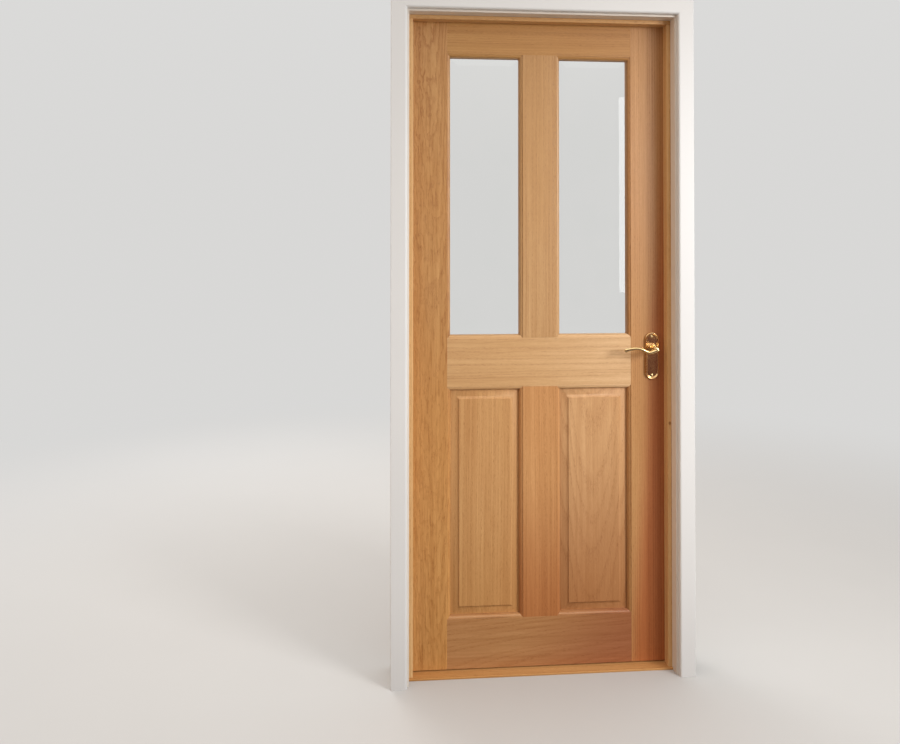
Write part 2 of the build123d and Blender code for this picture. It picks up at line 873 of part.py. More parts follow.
with BuildPart() as strike_screws:
    for dz in (-strike_screw_z, strike_screw_z):
        wood_screw((half_opening, leaf_mid, bolt_z + dz), (1, 0, 0), hinge_screw_length)
finish(strike_screws, "strike_screws")

# Mortice latch: the follower's arm swings in a slot in the bolt's tail
half_swing = radians(lever_travel / 2)
arm_length = latch_travel / (2 * sin(half_swing))
arm_tip_x = lever_x + arm_length * sin(half_swing)
slot_half = arm_radius + arm_slot_clearance
slot_top = lever_z + arm_length + arm_radius + arm_slot_clearance
tail_low = lever_z + arm_length - arm_radius + tail_lift
tail_front, tail_rear = leaf_mid - tail_thickness / 2, leaf_mid + tail_thickness / 2
tail_top = slot_top + tail_web
block_rear = half_leaf - bolt_block_length
spring_z = tail_top + arm_slot_clearance + spring_radius + spring_wire
post_x = block_rear - spring_length - spring_post
inner_half = case_thickness / 2 - case_wall

with BuildPart() as latch_case:
    block(case_back, case_front, case_front_y, case_rear_y, case_low, case_high)
    block(
        case_back + case_wall, case_front + overrun, leaf_mid - inner_half, leaf_mid + inner_half,
        case_low + case_wall, case_high - case_wall, mode=Mode.SUBTRACT,
    )
    block(
        post_x, post_x + spring_post, leaf_mid - inner_half, leaf_mid + inner_half,
        tail_top + arm_slot_clearance, case_high - case_wall,
    )
    bearing_radius = follower_radius + neck_clearance
    across_leaf(bearing_radius, lever_x, lever_z, leaf_front, rear, mode=Mode.SUBTRACT)
finish(latch_case, "latch_case")

with BuildPart() as latch_forend:
    block(
        case_front, half_leaf, leaf_mid - forend_width / 2, leaf_mid + forend_width / 2,
        case_mid - forend_height / 2, case_mid + forend_height / 2,
    )
    block(
        case_front - overrun, half_leaf + overrun, leaf_mid - bolt_width / 2 - bolt_clearance,
        leaf_mid + bolt_width / 2 + bolt_clearance, bolt_z - bolt_height / 2 - bolt_clearance,
        bolt_z + bolt_height / 2 + bolt_clearance, mode=Mode.SUBTRACT,
    )
    for dz in (-forend_screw_z, forend_screw_z):
        screw_hole((half_leaf, leaf_mid, case_mid + dz), (-1, 0, 0), hinge_screw_length)
finish(latch_forend, "latch_forend")

with BuildPart() as forend_screws:
    for dz in (-forend_screw_z, forend_screw_z):
        wood_screw((half_leaf, leaf_mid, case_mid + dz), (-1, 0, 0), hinge_screw_length)
finish(forend_screws, "forend_screws")

with BuildPart() as latch_bolt:
    with BuildSketch(Plane.XY.offset(bolt_z - bolt_height / 2)) as nose:
        low_y, high_y = leaf_mid - bolt_width / 2, leaf_mid + bolt_width / 2
        tip = half_leaf + latch_travel
        closed_outline([
            (block_rear, low_y), (half_leaf, low_y), (tip, high_y - bolt_nose_flat),
            (tip, high_y), (block_rear, high_y),
        ])
    extrude(nose.sketch, amount=bolt_height)
    slot_left, slot_right = arm_tip_x - slot_half, arm_tip_x + slot_half
    block(slot_left - tail_wall, block_rear, tail_front, tail_rear, tail_low, tail_top)
    block(slot_left, slot_right, tail_front, tail_rear, tail_low, slot_top, mode=Mode.SUBTRACT)
finish(latch_bolt, "latch_bolt")

with BuildPart() as latch_spring:
    coil_start = post_x + spring_post + spring_wire
    coil_length = spring_length - 2 * spring_wire
    bends = []
    for bend in range(spring_turns * spring_bends + 1):
        angle = radians(360 * bend / spring_bends)
        along = coil_length * bend / (spring_turns * spring_bends)
        bends.append((
            coil_start + along, leaf_mid + spring_radius * cos(angle),
            spring_z + spring_radius * sin(angle),
        ))
    with BuildLine() as coil:
        Polyline(*bends)
    with BuildSketch(Plane(origin=coil.line @ 0, z_dir=coil.line % 0)):
        RegularPolygon(spring_wire, 6)
    sweep(path=coil.line, transition=Transition.RIGHT)
finish(latch_spring, "latch_spring")

with BuildPart() as latch_follower:
    across_leaf(follower_radius, lever_x, lever_z, case_front_y, case_rear_y)
    upward = Plane(
        origin=(lever_x, tail_rear, lever_z),
        x_dir=(cos(half_swing), 0, -sin(half_swing)), z_dir=(0, -1, 0),
    )
    with BuildSketch(upward):
        with Locations((0, arm_length / 2)):
            Rectangle(arm_radius, arm_length)
        with Locations((0, arm_length)):
            Circle(arm_radius)
    extrude(amount=tail_thickness)
    spindle_hole(leaf_front, rear)
finish(latch_follower, "latch_follower")

# Backplates: rounded ends, a raised rim and a collar for the lever's neck
for name, (face, way) in leaf_faces.items():
    with BuildPart() as backplate:
        with BuildSketch(face_plane(face, way, plate_mid)):
            SlotOverall(plate_height, plate_width, rotation=90)
        extrude(amount=plate_thickness)
        with BuildSketch(face_plane(face, way, plate_mid, plate_floor)):
            SlotOverall(plate_height - 2 * plate_rim, plate_width - 2 * plate_rim, rotation=90)
        extrude(amount=plate_recess, mode=Mode.SUBTRACT)
        rim = backplate.faces().sort_by(Axis.Y)[0 if way < 0 else -1]
        chamfer(rim.edges(), plate_rim_slope)
        with BuildSketch(face_plane(face, way, lever_z)):
            Circle(collar_radius)
        extrude(amount=collar_height)
        collar = backplate.faces().sort_by(Axis.Y)[0 if way < 0 else -1]
        chamfer(collar.edges(), collar_slope)
        flange_depth = neck_flange_thickness + 2 * neck_flange_room
        for radius, depth in (
            (neck_flange_radius + neck_flange_room, flange_depth),
            (neck_radius + neck_clearance, collar_height),
        ):
            out = sorted((face, face + way * depth))
            across_leaf(radius, lever_x, lever_z, out[0], out[1], mode=Mode.SUBTRACT)
        for spot, direction in plate_screw_spots():
            if direction[1] == -way:
                screw_hole(spot, direction, small_screw_length)
    finish(backplate, f"{name}_backplate")

with BuildPart() as backplate_screws:
    for spot, direction in plate_screw_spots():
        wood_screw(spot, direction, small_screw_length)
finish(backplate_screws, "backplate_screws")

# Levers: a turned neck and a scrolled arm that dips, rises and curls down at its tip
neck_foot = collar_height + neck_plain
flange_out = neck_flange_room + neck_flange_thickness
neck_waist_at = (collar_height + lever_standoff) / 2
crown = lever_standoff + lever_half_depth
for name, (face, way) in leaf_faces.items():
    with BuildPart() as lever:
        turning = Plane(origin=(lever_x, face, lever_z), x_dir=(1, 0, 0), z_dir=(0, 0, way))
        with BuildSketch(turning) as half_neck:
            with BuildLine():
                Polyline(
                    (0, neck_flange_room), (neck_flange_radius, neck_flange_room),
                    (neck_flange_radius, flange_out), (neck_radius, flange_out),
                    (neck_radius, neck_foot), (neck_waist_radius, neck_waist_at),
                    (neck_radius + neck_swell, lever_standoff - neck_swell_down),
                    (crown_radius, crown - crown_drop), (0, crown), close=True,
                )
            make_face()
        revolve(half_neck.sketch, axis=Axis((lever_x, face, lever_z), (0, 1, 0)))
        arm_y = face + way * lever_standoff
        with BuildLine() as arm_line:
            Spline(
                (lever_x, arm_y, lever_z - arm_start),
                (lever_x - arm_dip_at, arm_y, lever_z - arm_dip),
                (lever_x - arm_swell_at, arm_y, lever_z + arm_swell),
                (lever_x - lever_length, arm_y, lever_z - arm_curl),
            )
        sections = []
        for step in range(arm_sections + 1):
            along = step / arm_sections
            size = 1 - arm_taper * along - arm_tip * along ** 8
            spot = arm_line.line @ along
            with BuildSketch(Plane(origin=spot, x_dir=(0, 1, 0), z_dir=(-1, 0, 0))) as oval:
                Ellipse(lever_half_depth * size, lever_half_height * size)
            sections.append(oval.sketch)
        loft(sections, ruled=True)
        hole_ends = sorted((face, face + way * spindle_depth))
        spindle_hole(hole_ends[0], hole_ends[1])
        with BuildSketch(Plane.XY.offset(lever_z - neck_radius - overrun)) as grub_hole:
            with Locations((lever_x, face + way * grub_from_plate)):
                Circle(grub_radius + spindle_clearance)
        extrude(grub_hole.sketch, amount=neck_radius, mode=Mode.SUBTRACT)
    finish(lever, f"{name}_lever")

with BuildPart() as spindle:
    half_side = spindle_side / 2
    spindle_out = spindle_depth - spindle_short
    block(
        lever_x - half_side, lever_x + half_side, leaf_front - spindle_out, rear + spindle_out,
        lever_z - half_side, lever_z + half_side,
    )
finish(spindle, "spindle")

with BuildPart() as grub_screws:
    grub_length = neck_waist_radius - spindle_side / 2 - spindle_clearance
    grub_z = lever_z - neck_waist_radius + grub_length / 2
    for face, way in leaf_faces.values():
        with Locations((lever_x, face + way * grub_from_plate, grub_z)):
            Cylinder(grub_radius, grub_length)
finish(grub_screws, "grub_screws")
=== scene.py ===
import math

import bmesh
import bpy
import numpy as np
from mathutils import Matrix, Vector


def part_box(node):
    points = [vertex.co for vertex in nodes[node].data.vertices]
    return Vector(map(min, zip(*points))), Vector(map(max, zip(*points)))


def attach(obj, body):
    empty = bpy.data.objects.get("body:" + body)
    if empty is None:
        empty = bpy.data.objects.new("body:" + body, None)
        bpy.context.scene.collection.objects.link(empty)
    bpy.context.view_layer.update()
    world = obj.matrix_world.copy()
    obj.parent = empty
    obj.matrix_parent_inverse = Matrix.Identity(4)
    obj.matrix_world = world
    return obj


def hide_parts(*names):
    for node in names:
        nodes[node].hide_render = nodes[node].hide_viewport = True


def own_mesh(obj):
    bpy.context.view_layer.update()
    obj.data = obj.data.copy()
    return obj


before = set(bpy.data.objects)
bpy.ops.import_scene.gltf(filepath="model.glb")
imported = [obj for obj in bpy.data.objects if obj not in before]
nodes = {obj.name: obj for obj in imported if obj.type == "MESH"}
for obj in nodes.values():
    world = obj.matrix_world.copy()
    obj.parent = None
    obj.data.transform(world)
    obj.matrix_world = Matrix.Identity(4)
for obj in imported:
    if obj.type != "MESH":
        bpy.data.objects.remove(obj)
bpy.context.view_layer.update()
mm = 0.001
print("frame loaded:", len(nodes), "nodes")


def metres(**lengths):
    # Lengths given in millimetres
    return {name: length * mm for name, length in lengths.items()}


def setAll(thing, **settings):
    for key, value in settings.items():
        setattr(thing, key, value)
    return thing


# Points closer than these are merged: in a new mesh, after carving, after a bevel
merging = metres(new=0.001, carved=0.02, bevelled=0.002)


def gridFaces(rows, cols, closed=False):
    # Quads of a grid of points: corner (i, j) joins (i+1, j), (i+1, j+1) and (i, j+1);
    # closed joins the last column to the first
    i, j = np.meshgrid(np.arange(rows - 1), np.arange(cols if closed else cols - 1), indexing="ij")
    nextCol = (j + 1) % cols
    corners = (i * cols + j, (i + 1) * cols + j, (i + 1) * cols + nextCol, i * cols + nextCol)
    return np.stack(corners, -1).reshape(-1, 4).tolist()


def carriedLength(profile, start, end, across, depth, mitreStart=0.0, mitreEnd=0.0):
    # A profile carried straight from start to end. With (a, d) a point of the profile,
    # its point at an end is: end + along * mitre * a + across * a + depth * d
    profile = np.asarray(profile, float)
    start, end = np.asarray(start, float), np.asarray(end, float)
    across, depth = np.asarray(across, float), np.asarray(depth, float)
    along = (end - start) / np.linalg.norm(end - start)
    rib = profile[:, :1] * across + profile[:, 1:] * depth
    first = start + rib + along * profile[:, :1] * mitreStart
    last = end + rib + along * profile[:, :1] * mitreEnd
    count = len(profile)
    caps = [list(range(count)), list(range(2 * count - 1, count - 1, -1))]
    return np.vstack([first, last]), gridFaces(2, count, closed=True) + caps


def mitredRounds(x0, x1, z0, z1, profile):
    # Rectangles one inside another: round j is inset by o_j on all four sides and lies
    # at depth y_j, so each profile meets its neighbour in a mitre; both ends are capped
    inset, y = np.asarray(profile, float).T
    corners = [
        (x0 + inset, y, z0 + inset), (x1 - inset, y, z0 + inset),
        (x1 - inset, y, z1 - inset), (x0 + inset, y, z1 - inset),
    ]
    points = np.stack([np.stack(c, -1) for c in corners], 1).reshape(-1, 3)
    count = len(inset)
    caps = [[0, 1, 2, 3], [4 * count - 4 + k for k in (3, 2, 1, 0)]]
    return points, gridFaces(count, 4, closed=True) + caps


def roundFaces(rows, cols):
    # A tube of rings of points, with a cap on its first ring and on its last
    last = (rows - 1) * cols
    caps = [list(range(cols)), [last + k for k in range(cols - 1, -1, -1)]]
    return gridFaces(rows, cols, closed=True) + caps


def turnedSolid(profile, centre, axis, side, count):
    # A profile of (radius, height) turned about an axis through centre:
    # centre + axis * h + r * (side * cos t + (axis x side) * sin t)
    radius, height = np.asarray(profile, float).T[..., None, None]
    axis, side = np.asarray(axis, float), np.asarray(side, float)
    turn = np.linspace(0, 2 * np.pi, count, endpoint=False)[:, None]
    spoke = np.cos(turn) * side + np.sin(turn) * np.cross(axis, side)
    points = np.asarray(centre, float) + height * axis + radius * spoke
    return points.reshape(-1, 3), roundFaces(len(profile), count)


def arc(cx, cy, radius, fromAngle, toAngle, count):
    # Points of a circle's arc: (cx + r cos t, cy + r sin t), t in degrees
    t = np.radians(np.linspace(fromAngle, toAngle, count))
    return np.stack([cx + radius * np.cos(t), cy + radius * np.sin(t)], -1).tolist()


def boxSolid(low, high):
    # The eight corners of a box and its six sides
    wide, deep = high[0] - low[0], high[1] - low[1]
    outline = [(0, 0), (wide, 0), (wide, deep), (0, deep)]
    return carriedLength(outline, low, (low[0], low[1], high[2]), (1, 0, 0), (0, 1, 0))


def joined(parts):
    # Several solids' points and faces as one pair
    points, faces, offset = [], [], 0
    for partPoints, partFaces in parts:
        points.append(np.asarray(partPoints, float))
        faces += [[k + offset for k in face] for face in partFaces]
        offset += len(partPoints)
    return np.vstack(points), faces


def tidyMesh(mesh, merge):
    # Doubles merged, loose edges dropped, and every closed shell's faces turned outward
    work = bmesh.new()
    work.from_mesh(mesh)
    bmesh.ops.remove_doubles(work, verts=work.verts, dist=merge)
    bmesh.ops.dissolve_degenerate(work, edges=work.edges, dist=merge)
    loose = [edge for edge in work.edges if not edge.link_faces]
    bmesh.ops.delete(work, geom=loose, context="EDGES")
    bmesh.ops.recalc_face_normals(work, faces=work.faces)
    work.to_mesh(mesh)
    work.free()


def makeMesh(parts):
    # Several solids as one mesh
    points, faces = joined(parts)
    mesh = bpy.data.meshes.new("made")
    mesh.from_pydata(points.tolist(), [], faces)
    mesh.update()
    tidyMesh(mesh, merging["new"])
    return mesh


def inScene(name, data):
    made = bpy.data.objects.new(name, data)
    bpy.context.scene.collection.objects.link(made)
    return made


def camelCase(node):
    # left_stop becomes leftStop
    first, *rest = node.split("_")
    return first + "".join(word.title() for word in rest)


def makePiece(node, parts, material, body, ease=0.0, easeSteps=2, sharp=32, name=None):
    # A piece that stands for a CAD node; ease is how far its arrises are rounded
    mesh = parts if isinstance(parts, bpy.types.Mesh) else makeMesh(parts)
    mesh.name = name or camelCase(node)
    mesh.shade_smooth()
    mesh.set_sharp_from_angle(angle=math.radians(sharp))
    mesh.materials.append(material)
    piece = inScene(mesh.name, mesh)
    if ease:
        setAll(
            piece.modifiers.new("easedArrises", "BEVEL"), width=ease, segments=easeSteps,
            limit_method="ANGLE", angle_limit=math.radians(sharp), harden_normals=True,
        )
        setAll(piece.modifiers.new("closedCorners", "WELD"), merge_threshold=merging["bevelled"])
    setAll(piece.modifiers.new("evenShading", "WEIGHTED_NORMAL"), keep_sharp=True)
    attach(piece, body)
    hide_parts(node)
    return piece


def carved(board, added, removed):
    # One closed solid: the board joined with what is added, less what is removed
    result = makeMesh([board])
    for solids, operation in ((added, "UNION"), (removed, "DIFFERENCE")):
        for solid in solids:
            body, tool = inScene("body", result), inScene("tool", makeMesh([solid]))
            change = body.modifiers.new("change", "BOOLEAN")
            setAll(change, operation=operation, solver="EXACT", object=tool)
            graph = bpy.context.evaluated_depsgraph_get()
            result = bpy.data.meshes.new_from_object(body.evaluated_get(graph))
            for each in (body, tool):
                bpy.data.objects.remove(each)
    tidyMesh(result, merging["carved"])
    return result


# Materials: wires and helpers that add nodes, then a function for each finish
class Wire:
    # A node's output. a + b, a - b, a * b, a / b and a ** b each add the node that works it
    # out, and a.scaled(b, c) is a * b + c
    def __init__(self, socket):
        self.socket = socket
        self.tree = socket.id_data

    def calc(self, operation, second=0.0, third=0.0):
        return mathNode(self.tree, operation, self, second, third)

    def scaled(self, factor, shift):
        return self.calc("MULTIPLY_ADD", factor, shift)

    def __add__(self, other):
        return self.calc("ADD", other)

    def __sub__(self, other):
        return self.calc("SUBTRACT", other)

    def __rsub__(self, other):
        return mathNode(self.tree, "SUBTRACT", other, self)

    def __mul__(self, other):
        return self.calc("MULTIPLY", other)

    def __truediv__(self, other):
        return self.calc("DIVIDE", other)

    def __pow__(self, other):
        return self.calc("POWER", other)


def addNode(tree, kind, inputs=None, **settings):
    # Each input is a wire or a value, a colour as three numbers. The wires that leave the
    # node are given by name and by place
    node = setAll(tree.nodes.new(kind), **settings)
    for key, value in (inputs or {}).items():
        socket = node.inputs[key]
        if isinstance(value, Wire):
            tree.links.new(value.socket, socket)
        else:
            socket.default_value = (*value, 1.0) if socket.type == "RGBA" else value
    wires = [Wire(socket) for socket in node.outputs]
    return dict(enumerate(wires)) | {wire.socket.name: wire for wire in wires}


def mathNode(tree, operation, first, second=0.0, third=0.0):
    return addNode(tree, "ShaderNodeMath", {0: first, 1: second, 2: third}, operation=operation)[0]


def vectorCalc(operation, first, second):
    return addNode(first.tree, "ShaderNodeVectorMath", {0: first, 1: second}, operation=operation)[0]


def vector(x, y, z):
    return addNode(x.tree, "ShaderNodeCombineXYZ", {0: x, 1: y, 2: z})[0]


def axes(place):
    made = addNode(place.tree, "ShaderNodeSeparateXYZ", {0: place})
    return made["X"], made["Y"], made["Z"]


def objectPlace(tree):
    return addNode(tree, "ShaderNodeTexCoord")["Object"]


def cloud(place, scale, detail=2.0, roughness=0.5):
    # Noise that changes scale times to a metre
    inputs = {"Vector": place, "Scale": scale, "Detail": detail, "Roughness": roughness}
    return addNode(place.tree, "ShaderNodeTexNoise", inputs)[0]


def stretchedCloud(place, factors, detail=2.0, roughness=0.5):
    # The same, with its own number of changes along x, y and z
    return cloud(vectorCalc("MULTIPLY", place, factors), 1.0, detail, roughness)


def eased(value, low, high):
    # 0 below low, 1 above high, smooth between
    inputs = {"Value": value, "From Min": low, "From Max": high}
    return addNode(value.tree, "ShaderNodeMapRange", inputs, interpolation_type="SMOOTHSTEP")[0]


def blended(amount, first, second, kind="MIX"):
    inputs = {0: amount, 6: first, 7: second}  # 6 and 7 are the node's colour sockets
    return addNode(amount.tree, "ShaderNodeMix", inputs, data_type="RGBA", blend_type=kind)[2]


def emptied(owner):
    # A material or a world, and its node tree with nothing in it
    owner.use_nodes = True
    owner.node_tree.nodes.clear()
    return owner, owner.node_tree


def newMaterial(name):
    return emptied(bpy.data.materials.new(name))


def finish(look, colour, rough, height=None, shine=None):
    # The shader on the material's output; the look says how strong the relief is
    tree, inputs = colour.tree, {"Base Color": colour, "Roughness": rough, **(shine or {})}
    if height is not None:
        relief = {"Strength": look["bump"], "Distance": look["bumpDepth"], "Height": height}
        inputs["Normal"] = addNode(tree, "ShaderNodeBump", relief)[0]
    shader = addNode(tree, "ShaderNodeBsdfPrincipled", inputs)
    addNode(tree, "ShaderNodeOutputMaterial", {"Surface": shader[0]})


oakLooks = {
    # How strongly each layer of the figure shows in the shade, the gloss and the relief
    "fibre": 0.16, "pore": 0.42, "fleck": 0.08, "band": 0.3, "knot": 0.55, "flush": 0.85,
    "poreRough": 0.22, "fibreRough": 0.12, "fibreHeight": 0.4, "ringHeight": -0.2,
    "bump": 0.35, "bumpDepth": 0.2 * mm,
    "roughness": 0.4, "specular": 0.45, "coat": 0.12, "coatRoughness": 0.28,
    "ringLeast": 0.3, "poreLeast": 0.2,  # a ring's share where it is faint, the pores' share off the rings
    "years": (34.0, 2.6),  # how often the ring gap changes to a metre, and by how many rings
    "seedStep": (3.13, 1.71, 2.37),
    "toning": (0.9, 1.3, 1.8),  # powers of a streak's shade: green and blue fall faster than red
}
oakGrain = {
    # Each layer's noise: its changes to a metre across the board and along it, detail, roughness
    "slow": (3.2, 0.8, 2.0, 0.5), "broad": (9.0, 1.3, 2.0, 0.5), "near": (60.0, 22.0, 2.0, 0.5),
    "strength": (14.0, 2.0, 1.0, 0.5), "band": (55.0, 0.9, 4.0, 0.72), "fibre": (900.0, 14.0, 3.0, 0.65),
    "pore": (2300.0, 85.0, 1.0, 0.5), "fleck": (420.0, 60.0, 1.0, 0.5), "stroke": (210.0, 15.0, 2.0, 0.6),
}
oakEdges = {
    # Between which two values each layer sets in
    "knot": (0.5, 1.2), "knotPush": (0.8, 5.0), "ringFall": (0.0, 0.5), "ringRise": (0.86, 1.0),
    "strength": (0.3, 0.7), "pore": (0.55, 0.68), "fleck": (0.6, 0.74), "stroke": (0.46, 0.72),
    "flush": (0.35, 0.75),
}
oakWarp = {
    # How far each wandering shifts a reading, as a multiple of its own size; a knot's height
    # to its width, and how far it pushes the rings
    "swayAcross": 3.0, "slowDeep": 2.5, "shiverDeep": 0.9, "bentAcross": 4.0, "bentAlong": 3.0,
    "knotTall": 1.4, "knotPush": 1.5, "heart": 0.04,
}
warmOak = {
    # Any board, unless its own look says otherwise. Places are across, deep and along, in metres
    "pithAcross": 0.4, "pithDepth": 0.1, "lean": 0.0, "ringGap": 0.011, "wander": 0.004, "ripple": 0.001,
    "figure": 0.6, "stroke": 0.05, "seed": 1.0,
    "lightShadeAcross": 1.0, "lightShadeDeep": 0.0, "lightShadeAlong": 0.0, "lightShadeFrom": 8.0, "lightShadeTo": 9.0,
    "knotAcross": 0.0, "knotAlong": 9.0, "knotSize": 0.003,
}
warmColours = {
    "pale": (0.53, 0.285, 0.108), "dark": (0.37, 0.15, 0.04), "flush": (0.51, 0.245, 0.076),
    # the painted light or shade tone; by default it begins 8 m away, so no board shows it
    "heart": (0.8, 0.62, 0.5),
}
oakResults = {"colour": "Color", "roughness": "Float", "height": "Float"}


def oakGroup():
    # Oak as a tree: rings round a pith that leans past the board, so a face cut across
    # them shows arches and one cut along them shows straight lines. Ring phase is the
    # distance from the pith over the ring gap; the distance wanders with stretched
    # noise. Painted light or shade, a tone multiplied into the colour, begins where the
    # board's weighted sum of x, y and z (its across, deep and along weights) passes its
    # start. A knot is an oval about (knotAcross, knotAlong) that pushes the rings aside.
    group = bpy.data.node_groups.new("oakFigure", "ShaderNodeTree")
    sockets = [("board", "INPUT", "Vector")]
    sockets += [(name, "INPUT", "Float") for name in warmOak]
    sockets += [(name, "INPUT", "Color") for name in warmColours]
    sockets += [(name, "OUTPUT", kind) for name, kind in oakResults.items()]
    for name, way, kind in sockets:
        group.interface.new_socket(name, in_out=way, socket_type="NodeSocket" + kind)
    given = addNode(group, "NodeGroupInput")
    looks, warp, knotSize = oakLooks, oakWarp, given["knotSize"]

    def length(a, b):
        return (a * a + b * b).calc("SQRT")

    def grain(layer, at):
        wide, long, detail, roughness = oakGrain[layer]
        return stretchedCloud(at, (wide, wide, long), detail, roughness)

    def edged(layer, value):
        return eased(value, *oakEdges[layer])

    seedStep = vector(*(given["seed"] * step for step in looks["seedStep"]))
    place = vectorCalc("ADD", given["board"], seedStep)
    across, deep, along = axes(given["board"])

    # The rings: how far a point lies from the pith, with the grain's wandering added
    slow, broad, near = (grain(layer, place) for layer in ("slow", "broad", "near"))
    sway = (broad - 0.5) * given["wander"]
    shiver = (near - 0.5) * given["ripple"]
    knotX = (across - given["knotAcross"]) / knotSize
    knotZ = (along - given["knotAlong"]) / (knotSize * warp["knotTall"])
    knotReach = length(knotX, knotZ)
    knot = 1.0 - edged("knot", knotReach)
    push = (1.0 - edged("knotPush", knotReach)) * (knotSize * warp["knotPush"])
    away = across - given["pithAcross"] + (sway * warp["swayAcross"] + shiver + push)
    drift = (slow - 0.5) * given["wander"] * warp["slowDeep"] + shiver * warp["shiverDeep"]
    behind = deep - given["pithDepth"] + drift + given["lean"] * along
    reach = length(away, behind)
    often, byRings = looks["years"]
    yearly = {"W": reach, "Scale": often, "Detail": 1.0}
    years = addNode(group, "ShaderNodeTexNoise", yearly, noise_dimensions="1D")[0]
    ringPart = (reach / given["ringGap"] + years * byRings).calc("FRACT")
    ring = edged("ringRise", ringPart).calc("MAXIMUM", 1.0 - edged("ringFall", ringPart))
    strength = edged("strength", grain("strength", place))
    ringShade = ring * strength.scaled(1 - looks["ringLeast"], looks["ringLeast"])

    # The finer layers: bands, fibres, pores that crowd on the rings, flecks and strokes
    band, fibre = grain("band", place), grain("fibre", place)
    crowding = ring.scaled(1 - looks["poreLeast"], looks["poreLeast"])
    pore = edged("pore", grain("pore", place)) * crowding
    fleck = edged("fleck", grain("fleck", place)) * (1.0 - ring)
    bend = vector(sway * warp["bentAcross"], 0.0, shiver * warp["bentAlong"])
    stroke = edged("stroke", grain("stroke", vectorCalc("ADD", place, bend)))

    colour = blended(ringShade * given["figure"], given["pale"], given["dark"])
    colour = blended(edged("flush", slow) * looks["flush"], colour, given["flush"])
    # Painted light and shade: a tone multiplied into the colour where the board stood lit or in shade
    lightShadePlace = given["lightShadeAcross"] * across + given["lightShadeAlong"] * along + given["lightShadeDeep"] * deep
    lightShadePlace = lightShadePlace + (broad - 0.5) * warp["heart"]
    heart = eased(lightShadePlace, given["lightShadeFrom"], given["lightShadeTo"])
    colour = blended(heart, colour, given["heart"], "MULTIPLY")
    bandShade = (band - 0.5).scaled(looks["band"] * 2, 1.0)
    fibreShade = (fibre - 0.5).scaled(looks["fibre"] * 2, 1.0)
    fineShade = pore.scaled(-looks["pore"], 1.0) * fleck.scaled(looks["fleck"], 1.0)
    marks = (1.0 - stroke * given["stroke"]) * (1.0 - knot * looks["knot"])
    shade = bandShade * fibreShade * fineShade * marks
    toned = vector(*(shade ** power for power in looks["toning"]))
    fibreRough = fibre.scaled(looks["fibreRough"], looks["roughness"] - looks["fibreRough"] / 2)
    fibreHeight = fibre * looks["fibreHeight"]
    addNode(group, "NodeGroupOutput", {
        "colour": vectorCalc("MULTIPLY", colour, toned),
        "roughness": pore * looks["poreRough"] + fibreRough,
        "height": pore.scaled(-1.0, fibreHeight) + ring * looks["ringHeight"],
    })
    return group


oakFigure = oakGroup()


def oakMaterial(name, look, grain="up", polish=1.0):
    # A board whose grain runs up reads (x, y, z) as across, deep and along; else (z, y, x)
    material, tree = newMaterial(name)
    x, y, z = axes(objectPlace(tree))
    board = vector(x, y, z) if grain == "up" else vector(z, y, x)
    inputs = {"board": board, **warmOak, **warmColours, **look}
    figure = addNode(tree, "ShaderNodeGroup", inputs, node_tree=oakFigure)
    shine = {
        "Specular IOR Level": oakLooks["specular"] * polish,
        "Coat Weight": oakLooks["coat"] * polish,
        "Coat Roughness": oakLooks["coatRoughness"],
    }
    finish(oakLooks, *(figure[result] for result in oakResults), shine)
    return material


def paintMaterial(name, look, grain):
    # Satin paint: brush strokes along the board show in the bump and a little in tone
    material, tree = newMaterial(name)
    place = objectPlace(tree)
    fine, slow, detail = look["strokes"]
    strokes = stretchedCloud(place, (fine, fine, slow) if grain == "up" else (slow, fine, fine), detail)
    peel = cloud(place, look["peel"])
    mottled = cloud(place, look["mottle"]) * look["mottleTone"]
    colour = blended((strokes - 0.5).scaled(look["strokeTone"], mottled), look["white"], look["shade"])
    height = strokes.scaled(look["strokeHeight"], peel * look["peelHeight"])
    finish(look, colour, peel.scaled(look["peelRough"], look["roughness"]), height)
    return material


def metalMaterial(name, look):
    # Polished metal: fine polishing lines and faint tarnish vary gloss, colour and bump
    look = {**metalLooks, **look}
    material, tree = newMaterial(name)
    place = objectPlace(tree)
    lines = stretchedCloud(place, look["lines"])
    haze = cloud(place, *look["haze"])
    tarnish = eased(cloud(place, *look["tarnish"]), *look["tarnishEdge"])
    colour = blended(tarnish * look["tarnishing"], look["bright"], look["dull"])
    rough = lines.scaled(look["lineRough"], haze.scaled(look["hazing"], look["roughness"]))
    finish(look, colour, rough, lines, {"Metallic": 1.0})
    return material


def glassMaterial(name, look):
    # Clear glass with a faint smear that tints it and takes a little of its polish
    material, tree = newMaterial(name)
    smear = eased(cloud(objectPlace(tree), *look["patches"]), *look["patchEdge"])
    tint = blended(smear, look["clear"], look["green"])
    finish(look, tint, smear * look["smear"], shine={"Transmission Weight": 1.0, "IOR": look["ior"]})
    return material


def wear(node, material):
    held = nodes[node].data.materials
    held.clear()
    held.append(material)


def paintLightShade(direction, start, end, tone):
    # Painted light or shade: a tone multiplied in from start to end, measured along direction: across,
    # deep, along
    across, deep, along = direction
    return {
        "lightShadeAcross": across, "lightShadeDeep": deep, "lightShadeAlong": along, "lightShadeFrom": start, "lightShadeTo": end,
        "heart": tone,
    }


